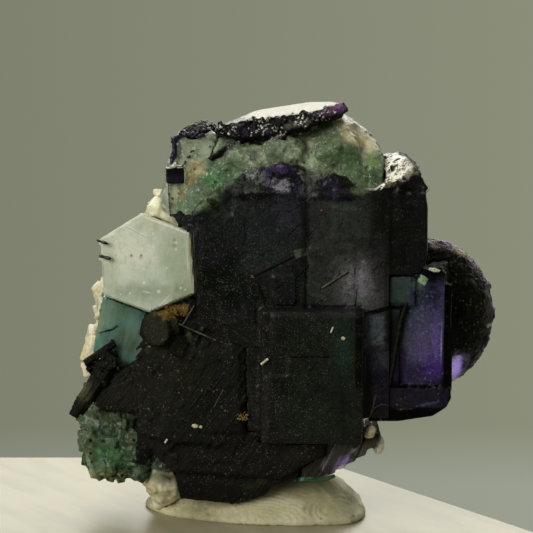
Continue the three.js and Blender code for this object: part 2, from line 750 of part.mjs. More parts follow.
// Each piece: its name, its shape, its finish, and the pieces that keep their shape where they meet it
const pieces = [
  ["aquamarine_hexagon", aquamarineHexagon, "paleAquamarine", []],
  ["aquamarine_teal", aquamarineTeal, "tealAquamarine", [aquamarineHexagon]],
  ["fluorite_purple_cubes", purpleFluorite, "purpleFluorite", []],
  ["fluorite_dark_cubes", darkFluorite, "darkFluorite", [aquamarineHexagon, purpleFluorite]],
  ["fluorite_dark_cap", darkCap, "blackCrust", []],
  ["fluorite_black_knob", blackKnob, "blackCrust", [darkCap]],
  ["fluorite_small_cube", smallCube, "darkFluorite", []],
  ["fluorite_clear", clearFluorite, "clearFluorite", [smallCube, blackKnob, darkCap]],
  ["tourmaline_sheaf", tourmalineSheaf, "tourmaline", [aquamarineTeal]],
  [
    "tourmaline_mass",
    tourmalineMass,
    "tourmaline",
    [aquamarineHexagon, aquamarineTeal, darkFluorite, tourmalineSheaf, purpleFluorite],
  ],
  [
    "fluorite_green_heart",
    greenFluorite,
    "greenFluorite",
    [darkFluorite, darkCap, smallCube, clearFluorite, blackKnob, aquamarineHexagon],
  ],
  ["feldspar_chip_upper", upperChip, "feldspar", [purpleFluorite, darkFluorite]],
  ["feldspar_chip_lower", lowerChip, "feldspar", [purpleFluorite, darkFluorite]],
  [
    "fluorite_fan",
    fluoriteFan,
    "purpleFluorite",
    [tourmalineMass, darkFluorite, purpleFluorite, upperChip, lowerChip],
  ],
  ["fluorite_drusy_lobe", drusyLobe, "darkFluorite", [purpleFluorite, darkFluorite]],
  ["fluorite_green_cluster", greenCluster, "greenFluorite", [tourmalineMass, tourmalineSheaf]],
  ["fluorite_green_wedge", greenWedge, "greenFluorite", [tourmalineMass, greenCluster]],
  [
    "feldspar_matrix",
    feldspar,
    "feldspar",
    [
      aquamarineHexagon,
      aquamarineTeal,
      darkFluorite,
      tourmalineMass,
      tourmalineSheaf,
      greenFluorite,
      clearFluorite,
      greenCluster,
      greenWedge,
    ],
  ],
  [
    "mineral_putty",
    putty,
    "putty",
    [tourmalineMass, feldspar, fluoriteFan, greenCluster, darkFluorite],
  ],
];

/** A solid as a mesh of the scene, in the finish of that name. */
function meshOf(name, solid, look) {
  const { vertProperties, triVerts } = solid.getMesh();
  const geometry = new THREE.BufferGeometry();
  geometry.setAttribute("position", new THREE.BufferAttribute(vertProperties, 3));
  geometry.setIndex(new THREE.BufferAttribute(triVerts, 1));
  geometry.computeVertexNormals();
  const material = new THREE.MeshStandardMaterial({ metalness: 0, ...looks[look] });
  const mesh = new THREE.Mesh(geometry, material);
  mesh.name = name;
  return mesh;
}

const specimen = new THREE.Group();
for (const [name, shape, look, neighbours] of pieces) {
  specimen.add(meshOf(name, beside(shape, ...neighbours), look));
}

const box = new THREE.Box3().setFromObject(specimen);
const middle = box.getCenter(new THREE.Vector3());
specimen.position.set(-middle.x, -middle.y, -box.min.z);

export default specimen;
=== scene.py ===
"""Dresses the aquamarine and fluorite specimen: its crystals, crusts, matrix and putty, and its stage.

Lengths in the working code are metres unless a name ends in _mm. A spot is a point given as shares of a
CAD node's box, so that what sits on a crystal follows that crystal's size.
"""

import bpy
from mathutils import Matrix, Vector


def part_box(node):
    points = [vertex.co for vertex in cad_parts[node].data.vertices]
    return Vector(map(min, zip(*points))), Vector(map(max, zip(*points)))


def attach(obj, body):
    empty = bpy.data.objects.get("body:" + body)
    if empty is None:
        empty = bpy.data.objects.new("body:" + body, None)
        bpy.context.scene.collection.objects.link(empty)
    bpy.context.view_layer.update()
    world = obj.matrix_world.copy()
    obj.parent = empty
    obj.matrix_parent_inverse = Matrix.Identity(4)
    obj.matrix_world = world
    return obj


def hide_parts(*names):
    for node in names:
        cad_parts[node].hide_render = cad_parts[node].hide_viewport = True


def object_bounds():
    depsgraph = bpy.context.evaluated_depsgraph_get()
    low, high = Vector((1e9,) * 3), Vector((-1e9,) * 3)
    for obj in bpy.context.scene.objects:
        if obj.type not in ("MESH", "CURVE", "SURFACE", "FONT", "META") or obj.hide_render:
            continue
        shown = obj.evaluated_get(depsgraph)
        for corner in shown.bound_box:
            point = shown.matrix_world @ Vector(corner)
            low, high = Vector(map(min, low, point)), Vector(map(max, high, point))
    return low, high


bl_info = {
    "name": "Aquamarine and Fluorite Specimen",
    "version": (1, 0, 0),
    "blender": (4, 5, 0),
    "location": "View3D > Sidebar > Specimen",
    "description": "Dresses the crystals, crusts, matrix and putty of a mineral specimen",
    "category": "Object",
}

import math
import random
from functools import cache
from itertools import accumulate

import bmesh
import bpy
from bpy.props import FloatProperty, FloatVectorProperty, IntProperty, PointerProperty
from mathutils import Euler, Matrix, Vector, noise

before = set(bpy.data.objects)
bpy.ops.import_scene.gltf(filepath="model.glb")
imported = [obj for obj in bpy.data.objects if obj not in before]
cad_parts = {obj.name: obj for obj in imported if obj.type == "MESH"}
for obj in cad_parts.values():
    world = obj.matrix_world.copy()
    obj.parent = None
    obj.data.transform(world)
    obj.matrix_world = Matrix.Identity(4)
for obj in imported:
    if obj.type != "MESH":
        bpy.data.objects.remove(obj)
CAD_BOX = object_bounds()

BODY = "root"
MM = 0.001
UP = Vector((0, 0, 1))
MERGE_REACH = 1e-6
BATCH = 80

# Face sizes of the thin pieces, and of the needles and the small cube.
CRUST_SKIN = 0.06 * MM
SMALL_SKIN = 0.07 * MM
BAR_SKIN = 0.08 * MM
SHEAF_SKIN = 0.09 * MM

# The CAD nodes that are referred to often.
PUTTY = "mineral_putty"
MATRIX = "feldspar_matrix"
CUBES = "fluorite_dark_cubes"
SMALL_CUBE = "fluorite_small_cube"
HEART = "fluorite_green_heart"
CLUSTER = "fluorite_green_cluster"
CLEAR = "fluorite_clear"
CAP = "fluorite_dark_cap"
PURPLE = "fluorite_purple_cubes"
LOBE = "fluorite_drusy_lobe"
FAN = "fluorite_fan"
HEXAGON = "aquamarine_hexagon"
TEAL = "aquamarine_teal"
MASS = "tourmaline_mass"
SHEAF = "tourmaline_sheaf"


def linear(red, green, blue):
    """A display colour from 0 to 255 as the light that the shaders work in."""
    parts = (part / 255 for part in (red, green, blue))
    return tuple(p / 12.92 if p <= 0.04045 else ((p + 0.055) / 1.055) ** 2.4 for p in parts)


# ---------------------------------------------------------------- sizes and colours a user may change


def length_setting(name, millimetres, description):
    """A length that a user may change, kept in metres."""
    return FloatProperty(
        name=name,
        description=description,
        default=millimetres * MM,
        min=0,
        precision=5,
        unit="LENGTH",
    )


def colour_setting(name, colour, description):
    """A colour that a user may change, given from 0 to 255."""
    return FloatVectorProperty(
        name=name,
        description=description,
        default=linear(*colour),
        size=3,
        min=0,
        max=1,
        subtype="COLOR",
    )


def count_setting(name, count, description):
    """How many of a thing are made."""
    return IntProperty(name=name, description=description, default=count, min=0)


class SpecimenSizes(bpy.types.PropertyGroup):
    """How fine the pieces are made, and how much grows on them."""

    coarse_skin: length_setting("Coarse skin", 0.21, "Face size on the large dark cubes")
    rock_skin: length_setting("Rock skin", 0.21, "Face size on the matrix and the tourmaline")
    crystal_skin: length_setting("Crystal skin", 0.16, "Face size on the smaller crystals")
    fine_skin: length_setting("Fine skin", 0.125, "Face size on crusts, blades and rods")
    putty_skin: length_setting("Putty skin", 0.12, "Face size on the putty")
    ridge_spacing: length_setting("Ridge spacing", 0.46, "From one finger ridge to the next")
    ridge_height: length_setting("Ridge height", 0.032, "Half the height of a finger ridge")
    dust_count: count_setting("Dust", 9000, "Grains of dust on the dark crystals")
    needle_count: count_setting("Needles", 170, "Fine tourmaline needles on the dark crystals")
    druse_count: count_setting("Druse", 2600, "Little cubes on the rounded lobe")


class FluoriteColours(bpy.types.PropertyGroup):
    """The colours inside the fluorite."""

    dark: colour_setting("Dark", (19, 19, 20), "The near-black outer zone")
    blue: colour_setting("Blue", (27, 29, 33), "Blue-grey zones under a dark face")
    violet: colour_setting("Violet", (54, 40, 78), "Purple zones")
    lilac: colour_setting("Lilac", (110, 106, 118), "Pale lilac veils")
    green: colour_setting("Green", (58, 112, 62), "The strongest green")
    sage: colour_setting("Sage", (128, 146, 118), "The pale grey-green of the broken heart")
    clear: colour_setting("Clear", (214, 222, 204), "The clear crystal")


class RockColours(bpy.types.PropertyGroup):
    """The colours of the other minerals and of the putty."""

    aquamarine: colour_setting("Aquamarine", (214, 224, 206), "The pale six-sided prism")
    teal: colour_setting("Teal", (96, 140, 130), "The blue-green prism")
    tourmaline: colour_setting("Tourmaline", (17, 17, 14), "Black tourmaline")
    feldspar: colour_setting("Feldspar", (222, 214, 184), "Cream feldspar")
    stain: colour_setting("Stain", (150, 92, 34), "Rusty stains and crumbs")
    putty: colour_setting("Putty", (196, 191, 160), "Kneaded putty")
    dust: colour_setting("Dust", (150, 146, 122), "Pale dust")


# ---------------------------------------------------------------- materials


class Value:
    """What a shader socket gives. Arithmetic on it adds Math nodes."""

    def __init__(self, nodes, socket):
        self.nodes = nodes
        self.socket = socket

    def maths(self, operation, *others):
        """What a Math node makes of this value and others."""
        return self.nodes.node("ShaderNodeMath", {"operation": operation}, (self, *others))[0]

    def __add__(self, other):
        return self.maths("ADD", other)

    def __radd__(self, other):
        return self.maths("ADD", other)

    def __sub__(self, other):
        return self.maths("SUBTRACT", other)

    def __rsub__(self, other):
        return self.maths("MULTIPLY", -1.0) + other

    def __mul__(self, other):
        return self.maths("MULTIPLY", other)

    def __rmul__(self, other):
        return self.maths("MULTIPLY", other)

    def larger(self, other):
        """The larger of two values."""
        return self.maths("MAXIMUM", other)

    def rising(self, low, high):
        """0 below low, 1 above high, and smooth between them."""
        ends = {"Value": self, "From Min": low, "From Max": high}
        return self.nodes.node("ShaderNodeMapRange", {"interpolation_type": "SMOOTHSTEP"}, ends)[0]


def three(size):
    """A size along each axis, from three sizes or from one for all."""
    return tuple(size) if hasattr(size, "__len__") else (size, size, size)


class Nodes:
    """The node tree of a material or of the world, while its nodes are laid."""

    def __init__(self, owner):
        owner.use_nodes = True
        self.tree = owner.node_tree
        self.tree.nodes.clear()

    def node(self, kind, settings=None, inputs=()):
        """A new node's outputs: its settings are made first, then its sockets get values or links."""
        made = self.tree.nodes.new(kind)
        for name, value in (settings or {}).items():
            if name == "stops":
                for element, (position, colour) in zip(made.color_ramp.elements, value):
                    element.position = position
                    element.color = (*colour, 1)
            else:
                setattr(made, name, value)
        for key, value in inputs.items() if hasattr(inputs, "items") else enumerate(inputs):
            if isinstance(value, Value):
                self.tree.links.new(value.socket, made.inputs[key])
            else:
                made.inputs[key].default_value = value
        return [Value(self, output) for output in made.outputs]


class Finish(Nodes):
    """A material while it is made. Its patterns are in millimetres of the object's own space."""

    def __init__(self, name):
        self.material = bpy.data.materials.new(name)
        super().__init__(self.material)
        metres = self.node("ShaderNodeTexCoord")[3]
        self.place = self.scaled(metres, 1 / MM)
        self.edges = {}

    def scaled(self, vector, factor):
        """A place or a colour, times a factor."""
        return self.node("ShaderNodeVectorMath", {"operation": "SCALE"}, {0: vector, 3: factor})[0]

    def mapped(self, centre_mm, size_mm, turn):
        """The place, from a centre, along axes turned by degrees, in units of a size."""
        inputs = {
            "Vector": self.place,
            "Location": tuple(centre_mm),
            "Rotation": tuple(math.radians(angle) for angle in turn),
            "Scale": three(size_mm),
        }
        return self.node("ShaderNodeMapping", {"vector_type": "TEXTURE"}, inputs)[0]

    def grain(self, size_mm, detail=2.0, rough=0.5, warp=0.0, turn=(0, 0, 0), seed=0):
        """Soft noise from 0 to 1; three sizes stretch it."""
        vector = self.mapped((7.3 * seed, 3.1 * seed, 5.7 * seed), size_mm, turn)
        inputs = {"Vector": vector, "Scale": 1.0, "Detail": detail, "Roughness": rough, "Distortion": warp}
        return self.node("ShaderNodeTexNoise", {}, inputs)[0]

    def cells(self, size_mm, seed=0, turn=(0, 0, 0)):
        """A pattern of cells: how far each point is from a cell's middle, and a number for each cell."""
        vector = self.mapped((4.7 * seed, 9.1 * seed, 2.3 * seed), size_mm, turn)
        outputs = self.node("ShaderNodeTexVoronoi", {"feature": "F1"}, {"Vector": vector, "Scale": 1.0})
        number = self.node("ShaderNodeSeparateColor", {}, {0: outputs[1]})[0]
        return outputs[0], number

    def specks(self, size_mm, share, seed=0):
        """1 on small round specks, in a share of the cells."""
        distance, number = self.cells(size_mm, seed=seed)
        return (1 - distance.rising(0.18, 0.34)) * number.rising(1 - share, 1 - share + 0.02)

    def patch(self, node, spot, radii_mm, turn=(0, 0, 0), soft=0.4, ragged=0.5, square=False):
        """1 inside a patch about a spot of a CAD node, 0 outside it, with a ragged soft edge."""
        away = self.mapped(point_at(node, spot) / MM, radii_mm, turn)
        if square:
            apart = self.node("ShaderNodeVectorMath", {"operation": "ABSOLUTE"}, {0: away})[0]
            x, y, z = self.node("ShaderNodeSeparateXYZ", {}, {0: apart})
            reach = x.larger(y).larger(z)
        else:
            reach = self.node("ShaderNodeVectorMath", {"operation": "LENGTH"}, {0: away})[1]
        reach = reach + self.edge_noise(min(radii_mm[0], radii_mm[2])) * (ragged * 2)
        return 1 - reach.rising(1 - soft, 1 + soft)

    def edge_noise(self, size_mm):
        """Noise about nought that frays the edges of patches of about this size."""
        size = next((step for step in (0.35, 0.8, 1.8) if size_mm < step * 1.6), 1.8)
        if size not in self.edges:
            self.edges[size] = self.grain(size, detail=5, rough=0.62, seed=size) - 0.5
        return self.edges[size]

    def zones(self, node, depth, deep_mm, rows):
        """Layers of patches at a depth into a node's box, from a zone table's rows."""
        layers = []
        for across, up, wide, tall, strength, colour, edge in rows:
            mask = self.patch(node, (across, depth, up), (wide, deep_mm, tall), **edge)
            layers.append((mask * strength, linear(*colour)))
        return layers

    def facing(self, direction, low, high):
        """1 where the surface faces a way, 0 where it turns from it."""
        normal = self.node("ShaderNodeNewGeometry")[1]
        along = self.node("ShaderNodeVectorMath", {"operation": "DOT_PRODUCT"}, {0: normal, 1: direction})[1]
        return along.rising(low, high)

    def mix(self, share, first, second):
        """The first colour where share is 0 and the second where it is 1."""
        first, second = (c if isinstance(c, Value) else (*c, 1) for c in (first, second))
        return self.node("ShaderNodeMix", {"data_type": "RGBA"}, {0: share, 6: first, 7: second})[2]

    def painted(self, colour, *layers):
        """A colour with others laid over it in turn, each with a mask."""
        for share, over in layers:
            colour = self.mix(share, colour, over)
        return colour

    def mottled(self, colour, *coats):
        """A colour made lighter and darker by grains: each has a size, a depth and maybe a turn."""
        for size_mm, depth, *turn in coats:
            lie = turn[0] if turn else (0, 0, 0)
            grain = self.grain(size_mm, detail=5, rough=0.68, turn=lie, seed=depth * 9)
            colour = self.scaled(colour, ((grain - 0.5) * (5 * depth) + 1).larger(0.1))
        return colour

    def faceted(self, colour, size_mm, depth, turn=(0, 0, 0), seed=0):
        """A colour made lighter and darker from one small facet to the next."""
        number = self.cells(size_mm, seed=seed, turn=turn)[1]
        return self.scaled(colour, (number - 0.5) * (2 * depth) + 1)

    def surface(self, colour, roughness, relief=None, relief_mm=0.05, absorbs=None, **constants):
        """Ends the material: a principled surface, with relief as bump and what light a body absorbs."""
        inputs = {"Base Color": colour, "Roughness": roughness}
        if relief is not None:
            bump = {"Height": relief, "Strength": 1.0, "Distance": relief_mm * MM}
            inputs["Normal"] = self.node("ShaderNodeBump", {}, bump)[0]
        for name, value in constants.items():
            inputs[name.replace("_", " ")] = value
        shader = self.node("ShaderNodeBsdfPrincipled", {}, inputs)[0]
        ends = {"Surface": shader}
        if absorbs:
            tint, density = absorbs
            volume = {"Color": (*tint, 1), "Density": density}
            ends["Volume"] = self.node("ShaderNodeVolumeAbsorption", {}, volume)[0]
        self.node("ShaderNodeOutputMaterial", {}, ends)
        return self.material


# ---------------------------------------------------------------- shapes


@cache
def box_of(node):
    """The low and the high corner of a CAD node's box."""
    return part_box(node)


def point_at(node, spot):
    """The point at these shares of a CAD node's box."""
    low, high = box_of(node)
    return Vector([a + (b - a) * share for a, b, share in zip(low, high, spot)])


def merged_copy(node):
    """A bmesh of a CAD node's mesh, its loose triangles joined up."""
    shape = bmesh.new()
    shape.from_mesh(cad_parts[node].data)
    bmesh.ops.remove_doubles(shape, verts=shape.verts, dist=MERGE_REACH)
    return shape


def add_block(shape, middle, sides, turn):
    """A block of three sides, turned about its middle."""
    matrix = Matrix.LocRotScale(middle, turn, Vector(three(sides)))
    bmesh.ops.create_cube(shape, size=1.0, matrix=matrix)


def add_rod(shape, start, end, radius, sides=6):
    """A straight rod from start to end."""
    along = end - start
    turn = UP.rotation_difference(along).to_matrix()
    bmesh.ops.create_cone(
        shape,
        cap_ends=True,
        segments=sides,
        radius1=radius,
        radius2=radius,
        depth=along.length,
        matrix=Matrix.LocRotScale((start + end) / 2, turn, None),
    )


def add_grain(shape, middle, radii, turn):
    """A pebble of twenty facets."""
    matrix = Matrix.LocRotScale(middle, turn, Vector(three(radii)))
    bmesh.ops.create_icosphere(shape, subdivisions=1, radius=1.0, matrix=matrix)


def any_turn(draw, degrees=180):
    """A turn about each axis by up to so many degrees."""
    reach = math.radians(degrees)
    return Euler([draw.uniform(-reach, reach) for _ in range(3)]).to_matrix()


def flat_turn(normal, draw):
    """A turn that lays a thing's own Z along a surface's normal, spun about it at random."""
    spun = Matrix.Rotation(math.radians(draw.uniform(-180, 180)), 3, "Z")
    return UP.rotation_difference(normal).to_matrix() @ spun


def add_many(shape, add, things):
    """Adds many things, a batch at a time, since a large bmesh is slow to add to."""
    mesh = bpy.data.meshes.new("batch")
    gathered = bmesh.new()
    for first in range(0, len(things), BATCH):
        batch = bmesh.new()
        for thing in things[first : first + BATCH]:
            add(batch, *thing)
        batch.to_mesh(mesh)
        batch.free()
        gathered.from_mesh(mesh)
    gathered.to_mesh(mesh)
    gathered.free()
    shape.from_mesh(mesh)
    bpy.data.meshes.remove(mesh)


def add_bent(shape, node, spots, radius_mm, sides=6):
    """A bent rod through spots of a CAD node."""
    stops = [point_at(node, spot) for spot in spots]
    for start, end in zip(stops, stops[1:]):
        add_rod(shape, start, end, radius_mm * MM, sides)


def crumble(shape, count, seed, sides_mm, sunk=0.3, lean=40, wanted=None):
    """Sets little blocks into a surface, their middles sunk below it by a share of their sides."""
    draw = random.Random(seed)
    blocks = []
    for point, normal in scattered(shape, count, seed, wanted):
        side = draw.uniform(*sides_mm) * MM
        blocks.append((point - normal * side * sunk, side, any_turn(draw, lean)))
    add_many(shape, add_block, blocks)


def seam(shape, node, spots, count, seed, sides_mm, spread_mm):
    """Sets little blocks along the line through spots of a CAD node."""
    draw = random.Random(seed)
    stops = [point_at(node, spot) for spot in spots]
    blocks = []
    for start, end in zip(stops, stops[1:]):
        for _ in range(count):
            away = Vector([draw.gauss(0, spread) for spread in (spread_mm, 0.07, spread_mm)]) * MM
            side = draw.uniform(*sides_mm) * MM
            blocks.append((start.lerp(end, draw.random()) + away, side, any_turn(draw)))
    add_many(shape, add_block, blocks)


def scattered(shape, count, seed, wanted=None):
    """Points spread over the faces that are wanted, each with the way its face looks."""
    draw = random.Random(seed)
    faces = [f for f in shape.faces if wanted is None or wanted(f.calc_center_median(), f.normal)]
    if not faces:
        raise ValueError("no face of the shape is wanted")
    reach = list(accumulate(face.calc_area() for face in faces))
    found = []
    for face in draw.choices(faces, cum_weights=reach, k=count):
        corners = [v.co for v in face.verts]
        start = 1 if len(corners) > 3 and draw.random() < 0.5 else 0
        a, b, c = corners[0], corners[start + 1], corners[start + 2]
        u, v = draw.random(), draw.random()
        if u + v > 1:
            u, v = 1 - u, 1 - v
        found.append((a + (b - a) * u + (c - a) * v, face.normal.copy()))
    return found


def fused(shape, skin, loose=False):
    """All that is in a bmesh as a closed skin of small even faces; loose keeps parts that lie apart."""
    mesh = bpy.data.meshes.new("shape")
    shape.to_mesh(mesh)
    shape.free()
    carrier = bpy.data.objects.new("shape", mesh)
    bpy.context.scene.collection.objects.link(carrier)
    remesh = carrier.modifiers.new("Fuse", "REMESH")
    remesh.mode = "VOXEL"
    remesh.voxel_size = skin
    graph = bpy.context.evaluated_depsgraph_get()
    result = bpy.data.meshes.new_from_object(carrier.evaluated_get(graph))
    bpy.data.objects.remove(carrier)
    bpy.data.meshes.remove(mesh)
    shape = bmesh.new()
    shape.from_mesh(result)
    bpy.data.meshes.remove(result)
    if not loose:
        drop_crumbs(shape)
    return shape


def drop_crumbs(shape):
    """Leaves only the largest connected part of a bmesh."""
    shape.verts.ensure_lookup_table()
    seen = [False] * len(shape.verts)
    parts = []
    for first in shape.verts:
        if seen[first.index]:
            continue
        seen[first.index] = True
        part = [first]
        for vertex in part:
            for edge in vertex.link_edges:
                other = edge.other_vert(vertex)
                if not seen[other.index]:
                    seen[other.index] = True
                    part.append(other)
        parts.append(part)
    parts.sort(key=len)
    crumbs = [vertex for part in parts[:-1] for vertex in part]
    bmesh.ops.delete(shape, geom=crumbs, context="VERTS")


def bevelled(shape, width, segments):
    """Rounds all of a shape's edges."""
    bmesh.ops.bevel(
        shape,
        geom=shape.edges,
        offset=width,
        affect="EDGES",
        segments=segments,
        profile=0.5,
        material=-1,
    )


def pushed(shape, how_far):
    """Moves each vertex along its normal by how_far(point, normal) in millimetres."""
    shape.normal_update()
    for vertex in shape.verts:
        vertex.co += vertex.normal * (how_far(vertex.co / MM, vertex.normal) * MM)
    shape.normal_update()


def softened(shape, times):
    """Wears a shape's edges off, a little each time."""
    for _ in range(times):
        bmesh.ops.smooth_vert(
            shape,
            verts=shape.verts,
            factor=0.5,
            use_axis_x=True,
            use_axis_y=True,
            use_axis_z=True,
        )


def flattened(shape, point, normal, reach):
    """Lays the vertices near a plane, where the surface faces its way, onto it."""
    shape.normal_update()
    for vertex in shape.verts:
        away = (vertex.co - point).dot(normal)
        if abs(away) < reach and vertex.normal.dot(normal) > 0.85:
            vertex.co -= normal * away
    shape.normal_update()


def waves(point, size_mm, octaves=3, seed=0):
    """Rough noise about nought."""
    return noise.fractal(point / size_mm + Vector((seed * 5.1, seed * 2.7, seed)), 0.8, 2.1, octaves)


def terraces(across, up, levels, seed):
    """Growth ledges on a crystal face: for each (width, height, step), boxes that stand up by step."""
    rise = 0.0
    for i, (width, height, step) in enumerate(levels):
        column = math.floor(across / width + 0.37 * (i + seed))
        row = math.floor(up / height + 0.61 * (i + seed) + 0.5 * (column % 2))
        if noise.cell(Vector((column + 0.5, row + 0.5, 3.5 * i + seed + 0.5))) > 0.5:
            rise += step
    return rise


def finished(shape, name, material, nodes=(), sharp=None):
    """Makes a bmesh into a piece that rides on the specimen, and stands for CAD nodes if any are given."""
    mesh = bpy.data.meshes.new(name)
    shape.to_mesh(mesh)
    shape.free()
    if sharp != 0:
        mesh.shade_smooth()
        if sharp:
            mesh.set_sharp_from_angle(angle=math.radians(sharp))
    mesh.materials.append(material)
    piece = bpy.data.objects.new(name, mesh)
    bpy.context.scene.collection.objects.link(piece)
    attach(piece, BODY)
    if nodes:
        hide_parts(*nodes)


# ---------------------------------------------------------------- the finishes

# The kinds of edge that a patch of colour may have.
BLOCK = {"square": True, "soft": 0.1, "ragged": 0.08}
WINDOW = {"square": True, "soft": 0.16, "ragged": 0.14}
PANE = {"square": True, "soft": 0.3, "ragged": 0.3}
LINE = {"square": True, "soft": 0.35, "ragged": 0.3}
DISC = {"soft": 0.06, "ragged": 0.05}
CLUMP = {"soft": 0.3, "ragged": 1.2}
VEIL = {"soft": 0.6, "ragged": 0.4}
HAZY = {"soft": 0.7, "ragged": 0.9}


def leaning(edge, degrees):
    """A kind of edge for a patch that leans over to the right, in the plane of the front."""
    return {**edge, "turn": (0, degrees, 0)}


# In the zone tables each row is a patch of colour: its middle, across and up, in shares of the node's box,
# half its width and height in millimetres, its strength, its colour and its kind of edge. A later row lies
# over an earlier one.

# The darker rows, high up under the specimen, are painted shade.
PUTTY_ZONES = [
    (0.07, 0.08, 2.2, 0.9, 0.8, (204, 198, 156), HAZY),
    (0.25, 0.13, 2.4, 0.8, 0.8, (150, 144, 104), HAZY),
    (0.12, 0.45, 2.6, 1.2, 0.7, (132, 126, 88), HAZY),
    (0.52, 0.30, 3.3, 0.9, 0.8, (182, 178, 138), HAZY),
    (0.84, 0.38, 2.2, 1.3, 0.8, (165, 159, 118), HAZY),
    (0.94, 0.36, 0.9, 0.9, 0.8, (139, 134, 99), HAZY),
    (0.70, 0.67, 3.3, 0.7, 0.8, (145, 142, 106), HAZY),
    (0.22, 0.80, 4.5, 1.0, 0.7, (104, 100, 72), HAZY),
]


def putty_finish(rock):
    """Kneaded putty: paler and darker places, the darker ones high up being painted shade under the specimen,
    and dark specks.
    """
    finish = Finish("Putty")
    colour = finish.painted(
        tuple(rock.putty),
        (finish.grain(3.2, detail=3, seed=1).rising(0.45, 0.75) * 0.6, linear(158, 151, 118)),
        (finish.specks(0.9, 0.12, seed=2) * 0.6, linear(84, 78, 62)),
        *finish.zones(PUTTY, 0.15, 8, PUTTY_ZONES),
    )
    colour = finish.mottled(colour, (0.3, 0.12), (1.2, 0.08))
    return finish.surface(colour, 0.78, finish.grain(0.16, detail=3), 0.02)


FELDSPAR_ZONES = [
    (0.373, 0.976, 1.10, 0.88, 0.8, (240, 240, 202), HAZY),
    (0.429, 0.957, 0.88, 1.10, 0.8, (184, 188, 158), HAZY),
    (0.075, 0.658, 0.44, 0.99, 0.8, (176, 182, 154), CLUMP),
    (0.010, 0.504, 0.44, 0.66, 0.9, (212, 204, 148), CLUMP),
    (0.012, 0.430, 0.44, 0.77, 0.9, (220, 162, 88), CLUMP),
    (0.381, 0.119, 1.5, 0.66, 0.9, (92, 102, 68), HAZY),
    (0.357, 0.076, 1.5, 0.88, 0.8, (188, 182, 136), HAZY),
]

CHIP_ZONES = [
    (0.5, 0.5, 1.6, 2.0, 0.8, (250, 242, 240), HAZY),
    (0.3, 0.95, 0.5, 0.5, 0.8, (120, 84, 130), CLUMP),
]


def feldspar_finish(rock):
    """Cream feldspar: cloudy, with brown and rusty places and dark specks."""
    finish = Finish("Feldspar")
    cloud = finish.grain(2.2, detail=4, rough=0.6, seed=1)
    colour = finish.painted(
        tuple(rock.feldspar),
        (cloud.rising(0.4, 0.7) * 0.6, linear(226, 222, 200)),
        (finish.grain(1.1, detail=3, seed=5).rising(0.58, 0.75) * 0.55, linear(166, 150, 106)),
        *finish.zones(MATRIX, 0.1, 6, FELDSPAR_ZONES),
        *finish.zones("feldspar_chip_lower", 0.3, 2, CHIP_ZONES),
        (finish.specks(0.8, 0.1, seed=9) * 0.7, linear(60, 52, 44)),
    )
    colour = finish.mottled(colour, (0.4, 0.16), (1.3, 0.1))
    relief = finish.grain(0.3, detail=4, rough=0.65, seed=2)
    return finish.surface(colour, 0.5, relief, 0.05, Subsurface_Weight=0.15, Subsurface_Scale=0.0012)


